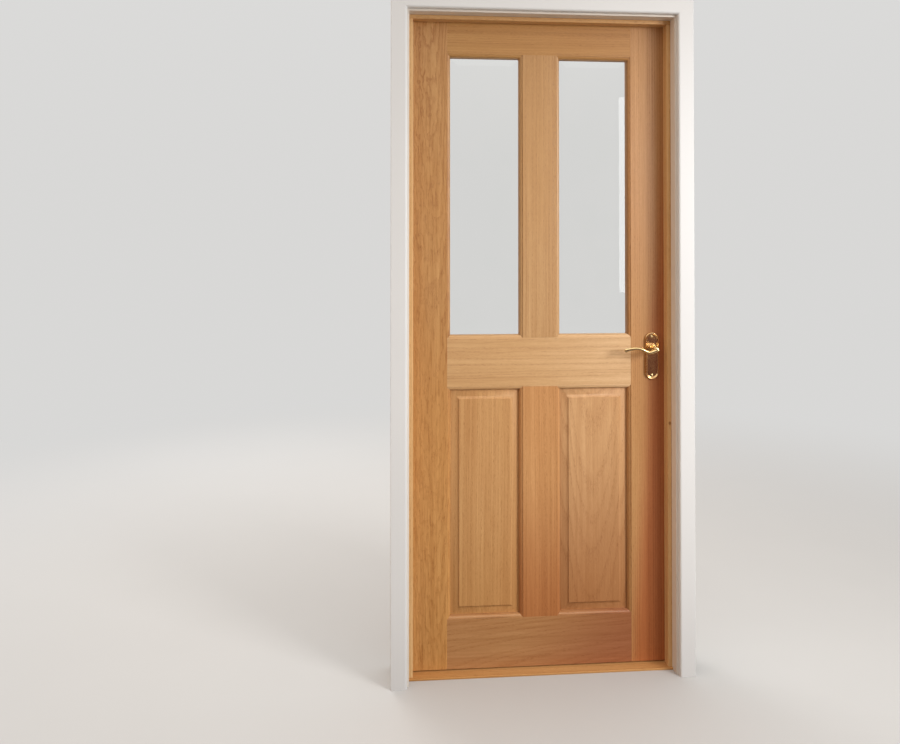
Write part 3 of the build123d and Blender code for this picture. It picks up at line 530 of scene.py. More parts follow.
uprights = {
    "hingeStile": {
        "pithAcross": -0.345, "pithDepth": 0.16, "lean": 0.045, "ringGap": 0.0056, "wander": 0.014,
        "ripple": 0.015, "stroke": 0.2, "seed": 3.0,
        # Brighter towards the floor: painted light.
        **paintLightShade((0.0, 0.0, -1.0), -1.3, -0.3, (1.12, 1.13, 1.08)),
    },
    "latchStile": {
        "pithAcross": 0.75, "pithDepth": 0.02, "ringGap": 0.012, "seed": 8.0,
        # Darker, redder oak than the hinge stile, and darker and redder still on the front by the latch
        # edge, widening towards the floor: painted shade.
        "pale": (0.5, 0.262, 0.1), "flush": (0.46, 0.215, 0.074),
        **paintLightShade((1.0, -4.0, -0.065), 0.209, 0.279, (0.82, 0.51, 0.42)),
    },
    "upperMuntin": {
        "pithAcross": -0.32, "pithDepth": 0.02, "figure": 0.28, "seed": 14.0,
        "pale": (0.54, 0.32, 0.145), "flush": (0.51, 0.28, 0.11),
    },
    "lowerMuntin": {
        "pithAcross": 0.38, "pithDepth": 0.05, "figure": 0.25, "seed": 17.0,
        "pale": (0.58, 0.3, 0.118), "flush": (0.53, 0.25, 0.088),
        # Darker towards the floor: painted shade.
        **paintLightShade((0.0, 0.0, -1.0), -0.66, -0.16, (0.77, 0.58, 0.48)),
    },
    "leftPanel": {
        "pithAcross": -0.65, "pithDepth": 0.3, "lean": 0.02, "ringGap": 0.009, "figure": 0.14, "seed": 6.0,
        "pale": (0.57, 0.31, 0.122), "flush": (0.55, 0.27, 0.102),
        # Darker towards the floor: painted shade.
        **paintLightShade((0.0, 0.0, -1.0), -0.6, -0.15, (0.92, 0.87, 0.78)),
    },
    "rightPanel": {
        "pithAcross": 0.17, "pithDepth": 0.22, "lean": 0.07, "ringGap": 0.01, "wander": 0.006,
        "figure": 0.16, "seed": 9.0, "pale": (0.6, 0.345, 0.16), "flush": (0.57, 0.3, 0.126),
        # Darker and redder towards the floor: painted shade.
        **paintLightShade((0.0, 0.0, -1.0), -0.8, -0.15, (0.69, 0.53, 0.42)),
    },
    "stops": {
        "pithAcross": 0.9, "pithDepth": 0.3, "figure": 0.3, "seed": 21.0,
        # Paler oak than the leaf's: painted light on the stops.
        "pale": (0.72, 0.45, 0.205), "flush": (0.67, 0.38, 0.15),
        "knotAcross": 0.4105, "knotAlong": 0.773, "knotSize": 0.0045,
    },
    "beads": {"pithAcross": 0.9, "pithDepth": 0.2, "figure": 0.4, "seed": 27.0},
}
crosswise = {
    "topRail": {
        "pithAcross": 2.35, "pithDepth": 0.15, "figure": 0.4, "seed": 5.0,
        "pale": (0.51, 0.275, 0.094), "flush": (0.47, 0.23, 0.07),
    },
    "lockRail": {
        "pithAcross": 1.3, "pithDepth": 0.12, "ringGap": 0.017, "wander": 0.012, "ripple": 0.004,
        "figure": 0.16, "seed": 11.0, "pale": (0.61, 0.37, 0.172), "flush": (0.57, 0.32, 0.138),
        # Paler and bluer towards its right end: painted light and sheen.
        **paintLightShade((0.0, 0.0, 1.0), -0.1, 0.3, (1.1, 1.18, 1.34)),
    },
    "bottomRail": {
        "pithAcross": -0.05, "pithDepth": 0.2, "lean": 0.1, "wander": 0.006, "figure": 0.26, "seed": 2.0,
        "pale": (0.47, 0.24, 0.095), "flush": (0.42, 0.19, 0.075),
        # Darker and redder towards its right end: painted shade.
        **paintLightShade((-0.4, 0.0, 0.5), -0.1, 0.12, (0.74, 0.55, 0.58)),
    },
    "headStop": {
        "pithAcross": 0.9, "pithDepth": 0.3, "figure": 0.3, "seed": 23.0,
        # Paler oak than the leaf's, like the side stops: painted light.
        "pale": (0.7, 0.43, 0.195), "flush": (0.65, 0.36, 0.14),
    },
    "beadsAlong": {"pithAcross": 0.3, "pithDepth": 0.5, "figure": 0.4, "seed": 29.0},
}
oak = {name: oakMaterial("oak_" + name, look) for name, look in uprights.items()}
oak |= {name: oakMaterial("oak_" + name, look, "along") for name, look in crosswise.items()}
worn = {"pithDepth": 0.6, "figure": 0.5, "seed": 25.0, "pale": (0.55, 0.3, 0.12)}
oak["threshold"] = oakMaterial("oak_threshold", worn, "along", polish=0.3)

paintLooks = {
    # strokes: changes to a metre across the brushing and along it, and detail
    "strokes": (420.0, 5.0, 3.0), "strokeTone": 0.05, "strokeHeight": 0.7,
    "peel": 260.0, "peelRough": 0.14, "peelHeight": 0.3, "mottle": 2.4, "mottleTone": 0.5,
    "roughness": 0.36, "bump": 0.35, "bumpDepth": 0.12 * mm,
}
white = {**paintLooks, "white": (0.765, 0.775, 0.78), "shade": (0.7, 0.708, 0.71)}
# The lining's white warmed to cream: painted warm light thrown onto it from the oak.
bounceTintedPaint = {**paintLooks, "white": (0.785, 0.73, 0.665), "shade": (0.735, 0.67, 0.6)}
whiteUp = paintMaterial("whitePaintUp", white, "up")
whiteAlong = paintMaterial("whitePaintAlong", white, "along")
bounceTintedUp = paintMaterial("liningBounceTintUp", bounceTintedPaint, "up")
bounceTintedAlong = paintMaterial("liningBounceTintAlong", bounceTintedPaint, "along")

metalLooks = {
    # Noise is given as its changes to a metre, detail and roughness
    "haze": (55.0, 3.0), "hazing": 0.1, "tarnish": (170.0, 4.0, 0.6), "tarnishEdge": (0.52, 0.72),
    "lines": (900.0, 900.0, 60.0), "lineRough": 0.06, "bump": 0.12, "bumpDepth": 0.05 * mm,
}
brass = metalMaterial("polishedBrass", {
    "bright": (0.89, 0.7, 0.37), "dull": (0.62, 0.43, 0.19), "tarnishing": 0.35, "roughness": 0.1,
})
# Darker and redder than the levers' brass: painted shade and dark reflection on the plates.
plateBrass = metalMaterial("darkPlateBrass", {
    "bright": (0.8, 0.54, 0.27), "dull": (0.52, 0.3, 0.14), "tarnishing": 0.55, "roughness": 0.11,
    "hazing": 0.12,
})
satinBrass = metalMaterial("satinBrass", {
    "bright": (0.88, 0.69, 0.38), "dull": (0.66, 0.48, 0.24), "tarnishing": 0.45, "roughness": 0.36,
})
steel = metalMaterial("zincedSteel", {
    "bright": (0.6, 0.6, 0.58), "dull": (0.4, 0.4, 0.39), "tarnishing": 0.5, "roughness": 0.24,
    "hazing": 0.16, "lines": (60.0, 900.0, 900.0),
})
paneGlass = glassMaterial("paneGlass", {
    "clear": (0.98, 0.99, 0.985), "green": (0.965, 0.98, 0.972), "ior": 1.5,
    "smear": 0.008, "patches": (9.0, 4.0, 0.6), "patchEdge": (0.45, 0.8),
})
print("materials made:", len(bpy.data.materials))

lining = metres(halfOpening=416, front=-54, rear=54)
for node in ("left_jamb", "right_jamb"):
    wear(node, bounceTintedUp)
wear("head_jamb", bounceTintedAlong)

architrave = metres(inner=422, low=2059, width=50, thick=15, round=7, ease=2, arris=0.25)


def architraveProfile():
    # (across from the inner edge, out from the lining): square at its back, the inner
    # arris a broad quarter round, the outer one eased
    a = architrave
    return (
        [(0, 0)] + arc(a["round"], a["thick"] - a["round"], a["round"], 180, 90, 9)
        + arc(a["width"] - a["ease"], a["thick"] - a["ease"], a["ease"], 90, 0, 5) + [(a["width"], 0)]
    )


for face, y, out in (("front", lining["front"], -1), ("rear", lining["rear"], 1)):
    edge, top = architrave["inner"], architrave["low"]
    lengths = {
        # side: start, end, across, the mitre at the start, paint
        "left": ((-edge, y, 0), (-edge, y, top), (-1, 0, 0), 0.0, whiteUp),
        "right": ((edge, y, 0), (edge, y, top), (1, 0, 0), 0.0, whiteUp),
        "head": ((-edge, y, top), (edge, y, top), (0, 0, 1), -1.0, whiteAlong),
    }
    for side, (start, end, across, mitreStart, paint) in lengths.items():
        solid = carriedLength(architraveProfile(), start, end, across, (0, out, 0), mitreStart, 1.0)
        node = f"{face}_{side}_architrave"
        makePiece(node, [solid], paint, "frame", architrave["arris"])

stop = metres(ease=1.2)
for side, look in (("left", "stops"), ("right", "stops"), ("head", "headStop")):
    node = f"{side}_stop"
    makePiece(node, [boxSolid(*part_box(node))], oak[look], "frame", stop["ease"], 3)

threshold = metres(round=2.5, arris=0.2)
low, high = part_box("threshold_strip")
depth, height, r = high[1] - low[1], high[2] - low[2], threshold["round"]
rounding = arc(r, height - r, r, 180, 90, 6) + arc(depth - r, height - r, r, 90, 0, 6)
profile = [(0, 0)] + rounding + [(depth, 0)]
strip = carriedLength(profile, (low[0], low[1], 0), (high[0], low[1], 0), (0, 1, 0), (0, 0, 1))
makePiece("threshold_strip", [strip], oak["threshold"], "frame", threshold["arris"])
print("frame pieces made")

leaf = metres(
    half=413, front=14, rear=54, low=10, high=2050, innerStile=295, halfMuntin=55, ease=0.7, beadArris=0.3,
)
panelSpan, glassSpan = (164 * mm, 890 * mm), (1044 * mm, 1942 * mm)  # low and high, of each opening
inner, muntin = leaf["innerStile"], leaf["halfMuntin"]
leftSpan, rightSpan = (-inner, -muntin), (muntin, inner)
moulding = metres(
    width=10, quirk=2, flat=1, round=8, root=1.5,  # root is how far it reaches back into its member
    panelHold=15.9, glassHold=17,  # how deep it goes, to the panel and to the pane
)
moulding["beadHold"] = leaf["rear"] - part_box("left_glass")[1][1]


def mouldingProfile(deep, root=0.0):
    # (across from the arris, depth from the face): quirk, flat, quarter round, flat, sight line
    m = moulding
    foot = m["quirk"] + m["round"]
    rounding = [(a, foot - d) for a, d in arc(m["flat"], 0, m["round"], 90, 0, 13)]
    return [(-root, m["quirk"])] + rounding + [(m["width"], foot), (m["width"], deep), (-root, deep)]


def stuckMoulding(start, end, across, span):
    # The lengths worked on a member along one side of an opening: front and rear of a
    # panel, front of a pane
    sides, deep = [(leaf["front"], 1)], moulding["glassHold"]
    if span is panelSpan:
        sides, deep = sides + [(leaf["rear"], -1)], moulding["panelHold"]
    return [
        carriedLength(
            mouldingProfile(deep, moulding["root"]), (start[0], y, start[1]), (end[0], y, end[1]),
            across, (0, inward, 0), 1.0, -1.0,
        ) for y, inward in sides
    ]


def upMoulding(x, way, *spans):
    # The mouldings that stand at x, beside each opening given by its low and high
    return [
        solid for span in spans
        for solid in stuckMoulding((x, span[0]), (x, span[1]), (way, 0, 0), span)
    ]


def alongMoulding(z, way, span):
    # The mouldings that lie at height z, in the left opening and in the right one
    return [
        solid for left, right in (leftSpan, rightSpan)
        for solid in stuckMoulding((left, z), (right, z), (0, 0, way), span)
    ]


def boardBetween(x0, x1, z0, z1):
    # A board as thick as the leaf
    return boxSolid((x0, leaf["front"], z0), (x1, leaf["rear"], z1))


leverAxis = (363 * mm, 1010 * mm)
housing = metres(
    # What is cut from the stiles for the hinges and the latch; over is how far a cut starts outside
    over=1, hingeDeep=30, hingeThick=2.5, hingePlay=0.15,
    latchPlay=0.2, forendThick=2, spindleRadius=9.5, spindleLength=42,
)
half, over, play = leaf["half"], housing["over"], housing["hingePlay"]
hingeCuts = []
for place in ("bottom", "middle", "top"):
    low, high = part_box(f"{place}_hinge_leaf_plate")
    hingeCuts.append(boxSolid(
        (-half - over, leaf["rear"] - housing["hingeDeep"] - play, low[2] - play),
        (-half + housing["hingeThick"], leaf["rear"] + over, high[2] + play),
    ))
play = housing["latchPlay"]
low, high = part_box("latch_case")
endLow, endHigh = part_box("latch_forend")
behindForend = (half - housing["forendThick"], high[1] + play, high[2] + play)
bore = [(housing["spindleRadius"], 0), (housing["spindleRadius"], housing["spindleLength"])]
latchCuts = [
    boxSolid([c - play for c in low], behindForend),
    boxSolid(endLow, (half + over, endHigh[1], endHigh[2])),
    turnedSolid(bore, (leverAxis[0], leaf["front"] - over, leverAxis[1]), (0, 1, 0), (1, 0, 0), 40),
]
bottom, top = leaf["low"], leaf["high"]
members = {
    # node: the board's x0, x1, z0, z1, the mouldings on it, what is cut from it
    "hinge_stile": ((-half, -inner, bottom, top), upMoulding(-inner, 1, panelSpan, glassSpan), hingeCuts),
    "latch_stile": ((inner, half, bottom, top), upMoulding(inner, -1, panelSpan, glassSpan), latchCuts),
    "top_rail": ((-inner, inner, glassSpan[1], top), alongMoulding(glassSpan[1], -1, glassSpan), []),
    "lock_rail": (
        (-inner, inner, panelSpan[1], glassSpan[0]),
        alongMoulding(glassSpan[0], 1, glassSpan) + alongMoulding(panelSpan[1], -1, panelSpan), [],
    ),
    "bottom_rail": ((-inner, inner, bottom, panelSpan[0]), alongMoulding(panelSpan[0], 1, panelSpan), []),
}
for node, span in (("upper_muntin", glassSpan), ("lower_muntin", panelSpan)):
    bothSides = upMoulding(-muntin, -1, span) + upMoulding(muntin, 1, span)
    members[node] = ((-muntin, muntin, *span), bothSides, [])
for node, (edges, mouldings, cuts) in members.items():
    mesh = carved(boardBetween(*edges), mouldings, cuts)
    makePiece(node, mesh, oak[camelCase(node)], "leaf", leaf["ease"])

panel = metres(edge=0.5, sight=10, bevel=28, tongue=4, shoulder=13, field=15, ease=0.6)
panel |= {"hollow": 0.45, "steps": 10}


def panelProfile():
    # (inset, depth) from the front field round the tongue to the rear field. The bevel is
    # a little hollow: with u from the sight line in, it rises as h * u + (1 - h) * u^2
    p, middle = panel, (leaf["front"] + leaf["rear"]) / 2
    u = np.linspace(1, 0, p["steps"])
    rise = p["hollow"] * u + (1 - p["hollow"]) * u ** 2
    bevel = np.stack([p["sight"] + p["bevel"] * u, -p["tongue"] - (p["shoulder"] - p["tongue"]) * rise], -1)
    half = [(p["sight"] + p["bevel"], -p["field"])] + bevel.tolist() + [(p["edge"], -p["tongue"])]
    return [(o, middle + d) for o, d in half] + [(o, middle - d) for o, d in reversed(half)]


for side, span in (("left", leftSpan), ("right", rightSpan)):
    field = [mitredRounds(*span, *panelSpan, panelProfile())]
    makePiece(f"{side}_panel", field, oak[f"{side}Panel"], "leaf", panel["ease"], 3)

glass = metres(set=2, front=28.77, rear=34.77, edge=3, bevel=31, arris=0.5, corner=0.3)
glass["softening"] = 0.25  # the bevel's break starts at this share of its slope


def paneProfile():
    # (inset, depth): the flat, a soft break, the bevel down to the edge, and the back
    g, corner = glass, glass["corner"]
    slope = (g["rear"] - g["front"] - g["edge"]) / g["bevel"]
    edge = g["rear"] - g["edge"]
    fall = slope * g["arris"]
    return [
        (g["bevel"] + g["arris"], g["front"]), (g["bevel"], g["front"] + g["softening"] * fall),
        (g["bevel"] - g["arris"], g["front"] + fall), (corner, edge - corner * slope),
        (0, edge + corner), (0, g["rear"] - corner), (corner, g["rear"]),
    ]


for side, (x0, x1) in (("left", leftSpan), ("right", rightSpan)):
    z0, z1 = glassSpan
    rear, profile = leaf["rear"], mouldingProfile(moulding["beadHold"])
    runs = {
        "bottom": ((x0, rear, z0), (x1, rear, z0), (0, 0, 1), "beadsAlong"),
        "top": ((x0, rear, z1), (x1, rear, z1), (0, 0, -1), "beadsAlong"),
        "left": ((x0, rear, z0), (x0, rear, z1), (1, 0, 0), "beads"),
        "right": ((x1, rear, z0), (x1, rear, z1), (-1, 0, 0), "beads"),
    }
    for place, (start, end, across, look) in runs.items():
        bead = carriedLength(profile, start, end, across, (0, -1, 0), 1.0, -1.0)
        makePiece(f"{side}_{place}_bead", [bead], oak[look], "leaf", leaf["beadArris"])
    gap = glass["set"]
    pane = [mitredRounds(x0 + gap, x1 - gap, z0 + gap, z1 - gap, paneProfile())]
    makePiece(f"{side}_glass", pane, paneGlass, "leaf", sharp=1.5, name=f"{side}Pane")
print("leaf pieces made")

backplate = metres(
    halfStraight=52.5, radius=22.5, thick=7, floor=3.5, middle=983, bead=2.6,
    collar=12.5, collarHeight=10, collarRound=1.6, bore=8.1, boreRound=0.8,
)
backplate |= {
    "screws": ((-62 * mm, 0.5), (62 * mm, -0.25)),  # above the middle, and the slot's tilt
    "endSteps": 48,
    # In millimetres: an inset or a radius, and a height over the level named
    "foot": [(0.3, 0), (0, 0.6)], "rimFromTop": [(4.4, -0.6), (5.2, -1.5), (5.7, -2.4)],
    "fieldFromFloor": [(6.3, 0.45), (7.2, 0.1), (8.4, 0), (15, 0.15), (22.3, 0.2)],
    "collarFoot": [(8.1, 0.5), (14.2, 0.5)], "collarFromFloor": [(14.2, 0.3), (13.2, 1.0), (12.5, 2.0)],
}


def stadiumRounds(profile, centre, way):
    # Rounds of a stadium one inside another: a half circle of radius R - o about each end
    # of a straight middle, standing h out of the leaf; the last round closes on the middle
    p, count = backplate, backplate["endSteps"]
    half = np.linspace(-90, 90, count)
    turn = np.radians(np.concatenate([half, half + 180]))
    ends = np.repeat([p["halfStraight"], -p["halfStraight"]], count)
    inset, height = np.asarray(profile, float).T[..., None]
    x = centre[0] + (p["radius"] - inset) * np.sin(turn)
    z = centre[2] + ends + (p["radius"] - inset) * np.cos(turn)
    y = np.broadcast_to(centre[1] + way * height, x.shape)
    return np.stack([x, y, z], -1).reshape(-1, 3), roundFaces(len(inset), 2 * count)


def overLevel(points, level=0.0):
    # (across, up) in millimetres, with up measured from the level
    return [(across * mm, level + height * mm) for across, height in points]


def backplateProfile():
    # (inset, height): a square foot, a bead rolled over the rim, a cove down to the field
    p, top, bead = backplate, backplate["thick"], backplate["bead"]
    return (
        overLevel(p["foot"]) + arc(bead, top - bead, bead, 180, 60, 9)
        + overLevel(p["rimFromTop"], top) + overLevel(p["fieldFromFloor"], p["floor"])
    )


def collarProfile():
    # (radius, height) of the collar the neck turns in, up from inside the plate
    p, outer, lip = backplate, backplate["collarRound"], backplate["boreRound"]
    return (
        overLevel(p["collarFoot"]) + overLevel(p["collarFromFloor"], p["floor"])
        + arc(p["collar"] - outer, p["collarHeight"] - outer, outer, 0, 90, 6)
        + arc(p["bore"] + lip, p["collarHeight"] - lip, lip, 90, 180, 4)
    )


lever = metres(
    standoff=48, length=103, heel=8.5, drop=1.0, dip=10.4, dipAt=22, dipSpread=20,
    rise=2.8, riseAt=66, riseSpread=24, curl=5.5, bow=3.0, halfHeight=5.6, halfDepth=6.2,
    heelRound=7.5, tipRound=6.0,
)
lever |= {
    "curlPower": 7, "swell": 1.05, "waist": 0.18, "taper": 0.42, "squareness": 0.86,
    "rows": 120, "cols": 40, "bunching": 0.85,
}


def leverArm(way, face):
    # Centre line: z(s) = rise bump - dip bump - curl * (s / length)^7, s from the heel to
    # the tip; sections are ovals square to it, shrinking to a rounded point at both ends
    p = lever
    t = np.linspace(0, 1, p["rows"])
    bunched = t - np.sin(2 * np.pi * t) / (2 * np.pi) * p["bunching"]  # closer at both ends
    s = -p["heel"] + (p["length"] + p["heel"]) * bunched
    share = np.clip(s / p["length"], 0, 1)
    rise = p["rise"] * np.exp(-((s - p["riseAt"]) / p["riseSpread"]) ** 2)
    dip = p["dip"] * np.exp(-((s - p["dipAt"]) / p["dipSpread"]) ** 2)
    z = rise - dip - p["curl"] * share ** p["curlPower"]
    bow = p["bow"] * share ** 2  # the tip leans back to the leaf
    slope = np.gradient(z, s)
    upX, upZ = slope / np.sqrt(1 + slope ** 2), 1 / np.sqrt(1 + slope ** 2)  # square to the line
    fromEnds = ((s + p["heel"]) / p["heelRound"], (p["length"] - s) / p["tipRound"])
    shrink = np.prod([np.sqrt(1 - np.clip(1 - far, 0, 1) ** 2) for far in fromEnds], axis=0)
    tall = p["halfHeight"] * (p["swell"] - p["waist"] * np.sin(np.pi * share) ** 2) * shrink
    deep = p["halfDepth"] * (p["swell"] - p["taper"] * share) * shrink
    turn = np.linspace(0, 2 * np.pi, p["cols"], endpoint=False)
    waveY, waveZ = (np.sign(w) * np.abs(w) ** p["squareness"] for w in (np.cos(turn), np.sin(turn)))
    points = np.stack([
        leverAxis[0] - s[:, None] + (upX * tall)[:, None] * waveZ,
        face + way * (p["standoff"] - bow[:, None]) + deep[:, None] * waveY,
        leverAxis[1] - p["drop"] + z[:, None] + (upZ * tall)[:, None] * waveZ,
    ], -1)
    return points.reshape(-1, 3), gridFaces(p["rows"], p["cols"], closed=True)


neck = metres(foot=11.2, radius=8.6, waist=2.2, shoulder=1, head=7.6, headBelow=1.1)
neck |= {
    "waistPower": 1.3, "rows": 22,
    # In millimetres: radius and height
    "bead": [(7.9, 1.0), (8.0, 9.0), (8.0, 10.2), (8.9, 10.5), (9.1, 11.0), (8.9, 11.5)],
}


def neckProfile():
    # (radius, height): out of the collar, a bead, a waist, then a swell into the arm
    p, top = neck, lever["standoff"]
    rise = np.linspace(0, 1, p["rows"])
    waist = p["radius"] - p["waist"] * np.sin(np.pi * rise) ** p["waistPower"]
    body = np.stack([waist, p["foot"] + (top - p["shoulder"] - p["foot"]) * rise], -1).tolist()
    return overLevel(p["bead"]) + body[1:] + arc(0, top - p["headBelow"], p["head"], 20, 88, 9)


screwHead = metres(radius=4.2, dome=1.1, proud=0.25, foot=-0.8, slot=1.0, slotDepth=0.9)
screwHead |= {
    "rows": 9, "cols": 17,
    "within": 0.9995, "barWithin": 0.98,  # how far the halves and the slot's floor stay inside the rim
}


def slottedHead(centre, outward, across):
    # Two domed halves either side of a slot: over each, x runs from the slot's side to the
    # rim, y = v * sqrt(r^2 - x^2), height = dome * (1 - (x^2 + y^2) / r^2)
    p = screwHead
    rows, cols, r, halfSlot = p["rows"], p["cols"], p["radius"], p["slot"] / 2
    centre, outward, across = (np.asarray(v, float) for v in (centre, outward, across))
    along = np.cross(outward, across)
    x = np.sin(np.linspace(0, np.pi / 2, rows))[:, None] * (r - halfSlot) * p["within"] + halfSlot
    y = np.sin(np.linspace(-np.pi / 2, np.pi / 2, cols)) * np.sqrt(r ** 2 - x ** 2)
    dome = p["dome"] * (1 - (x ** 2 + y ** 2) / r ** 2) + p["proud"]
    index = np.arange(rows * cols).reshape(rows, cols)
    rim = np.concatenate([index[0], index[1:, -1], index[-1, -2::-1], index[-2:0:-1, 0]])
    nextRim = np.roll(rim, -1)
    top = gridFaces(rows, cols)
    faces = top + [[k + rows * cols for k in face] for face in top]
    faces += np.stack([rim, nextRim, nextRim + rows * cols, rim + rows * cols], -1).tolist()
    parts = []
    for way in (-1, 1):
        flat = centre + way * x[..., None] * across + y[..., None] * along
        layers = [flat + dome[..., None] * outward, flat + p["foot"] * outward]
        parts.append((np.stack(layers).reshape(-1, 3), faces))
    floor = p["dome"] + p["proud"] - p["slotDepth"]
    outline = [(-halfSlot, p["foot"]), (halfSlot, p["foot"]), (halfSlot, floor), (-halfSlot, floor)]
    end = along * r * p["barWithin"]
    return parts + [carriedLength(outline, centre - end, centre + end, across, outward)]


screwParts = []
for side, y, way in (("front", leaf["front"], -1), ("rear", leaf["rear"], 1)):
    outward, spindle = (0, way, 0), (leverAxis[0], y, leverAxis[1])
    plate = [
        stadiumRounds(backplateProfile(), (leverAxis[0], y, backplate["middle"]), way),
        turnedSolid(collarProfile(), spindle, outward, (1, 0, 0), 72),
    ]
    makePiece(f"{side}_backplate", plate, plateBrass, "leaf", sharp=50)
    handle = [leverArm(way, y), turnedSolid(neckProfile(), spindle, outward, (1, 0, 0), 56)]
    makePiece(f"{side}_lever", handle, brass, "lever", sharp=60)
    for up, tilt in backplate["screws"]:
        spot = (leverAxis[0], y + way * backplate["floor"], backplate["middle"] + up)
        screwParts += slottedHead(spot, outward, (math.cos(tilt), 0, math.sin(tilt)))
makePiece("backplate_screws", screwParts, brass, "leaf", sharp=40)

spring = metres(radius=2.3, wire=0.4, closedPitch=0.85, travel=11.1)
spring |= {
    "turns": 7, "stepsPerTurn": 40, "sides": 10,
    "endTurns": 0.8, "opening": 0.4,  # the turns that lie closed, and those over which they open
}


def coiledWire(low, high):
    # A round wire wound about x. With a the angle wound, its centre line is
    # (x(a), y + R cos a, z + R sin a), where x climbs slowly in both end turns.
    # Round that line: centre + w * (n cos p + b sin p), n the spoke and b = tangent x n
    p = spring
    turn = np.linspace(0, p["turns"], p["turns"] * p["stepsPerTurn"] + 1)
    opened = np.clip((np.minimum(turn, p["turns"] - turn) - p["endTurns"]) / p["opening"], 0, 1)
    opened = opened * opened * (3 - 2 * opened)
    share = (opened[1:] + opened[:-1]) / 2
    closed = p["closedPitch"] * np.diff(turn)
    reach = high[0] - low[0] - 2 * p["wire"]
    climb = closed + share * (reach - closed.sum()) / share.sum()
    x = low[0] + p["wire"] + np.concatenate([[0], np.cumsum(climb)])
    angle = 2 * np.pi * turn
    spoke = np.stack([0 * angle, np.cos(angle), np.sin(angle)], 1)
    middle = (np.asarray(low, float) + np.asarray(high, float)) / 2 * (0, 1, 1)
    centre = middle + x[:, None] * (1, 0, 0) + p["radius"] * spoke
    tangent = np.gradient(centre, axis=0)
    tangent /= np.linalg.norm(tangent, axis=1)[:, None]
    beside = np.cross(tangent, spoke)
    around = np.linspace(0, 2 * np.pi, p["sides"], endpoint=False)[:, None]
    ring = np.cos(around) * spoke[:, None] + np.sin(around) * beside[:, None]
    points = centre[:, None] + p["wire"] * ring
    return points.reshape(-1, 3), roundFaces(len(turn), p["sides"])


low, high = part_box("latch_spring")
coil = makePiece("latch_spring", [coiledWire(low, high)], steel, "leaf", sharp=60)
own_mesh(coil)  # as the bolt draws back

hinge = metres(
    height=102, gap=0.4, radius=5.5, relief=6.0, bore=3.05, thick=2.5, inner=24, ease=0.5,
    play=0.03,  # so that no cut lies in the plane of a knuckle's end
    headRadius=4.25, shankRadius=2.15, pinRadius=3,
    capRadius=4.2, capEase=0.5, capRim=0.4, capHeight=1.0, capDome=1.4,
)
hinge |= {
    "axis": (-414.5 * mm, 60.2 * mm), "count": 5, "capTurns": (0.35, 0.7, 1.05, 1.4),
    # In millimetres: across from the inner edge, and up from the middle
    "screws": ((8.5, -36.75), (18.5, -12.25), (8.5, 12.25), (18.5, 36.75)),
}


def turnedOnPin(profile, z):
    # A profile turned about the hinges' axis, its heights counted from z
    return turnedSolid(profile, (*hinge["axis"], z), (0, 0, 1), (1, 0, 0), 56)


def barrel(z, low, high, radius, ease=0.0):
    # A round length on the hinge's axis from z + low to z + high, its ends eased
    profile = [(radius, low), (radius, high)]
    if ease:
        profile = [(radius - ease, low), (radius, low + ease), (radius, high - ease), (radius - ease, high)]
    return turnedOnPin(profile, z)


def hingeHalf(z, face, way, ownFirst):
    # A plate with every other knuckle, cut back round its partner's knuckles, bored for
    # the pin and countersunk for four screws
    h = hinge
    length = (h["height"] - (h["count"] - 1) * h["gap"]) / h["count"]
    lows = [-h["height"] / 2 + k * (length + h["gap"]) for k in range(h["count"])]
    near, far = sorted((face, face + way * h["thick"]))
    half = h["height"] / 2 - h["play"]
    board = boxSolid((near, h["inner"], z - half), (far, h["axis"][1], z + half))
    added = [barrel(z, low, low + length, h["radius"], h["ease"]) for low in lows[ownFirst::2]]
    spare = h["gap"] + h["play"]
    removed = [barrel(z, low - spare, low + length + spare, h["relief"]) for low in lows[1 - ownFirst::2]]
    removed.append(barrel(z, -h["height"], h["height"], h["bore"]))
    head, shank = h["headRadius"], h["shankRadius"]
    cone = [(head, -mm), (head, 0), (shank, head - shank), (shank, 2 * h["thick"])]
    for across, up in overLevel(h["screws"]):
        removed.append(turnedSolid(cone, (face, h["inner"] + across, z + up), (way, 0, 0), (0, 0, 1), 40))
    return carved(board, added, removed)


def pinProfile():
    # (radius, height): a button at each end with a domed face and an eased rim
    h = hinge
    half, cap, domeFrom = h["height"] / 2, h["capRadius"], h["height"] / 2 + h["capHeight"]
    button = [(cap - h["capEase"], half), (cap, half + h["capRim"]), (cap, domeFrom)]
    button += [(cap * math.cos(t), domeFrom + h["capDome"] * math.sin(t)) for t in h["capTurns"]]
    lower = [(r, -z) for r, z in reversed(button)]
    return lower + [(h["pinRadius"], -half), (h["pinRadius"], half)] + button


for place in ("bottom", "middle", "top"):
    low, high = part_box(f"{place}_hinge_pin")
    z = (low[2] + high[2]) / 2
    halves = (("frame", -lining["halfOpening"], -1, 0), ("leaf", -leaf["half"], 1, 1))
    for body, face, way, ownFirst in halves:
        plate = hingeHalf(z, face, way, ownFirst)
        makePiece(f"{place}_hinge_{body}_plate", plate, brass, body, sharp=25)
    makePiece(f"{place}_hinge_pin", [turnedOnPin(pinProfile(), z)], brass, "frame", sharp=40)

fittings = (
    (brass, ("hinge_frame_screws", "hinge_leaf_screws", "strike_screws", "forend_screws")),
    (satinBrass, ("strike_plate", "latch_forend", "latch_bolt")),
    (steel, ("latch_case", "latch_follower", "spindle", "grub_screws", "corner_screws")),
)
for material, fitted in fittings:
    for node in fitted:
        wear(node, material)
print("furniture made")

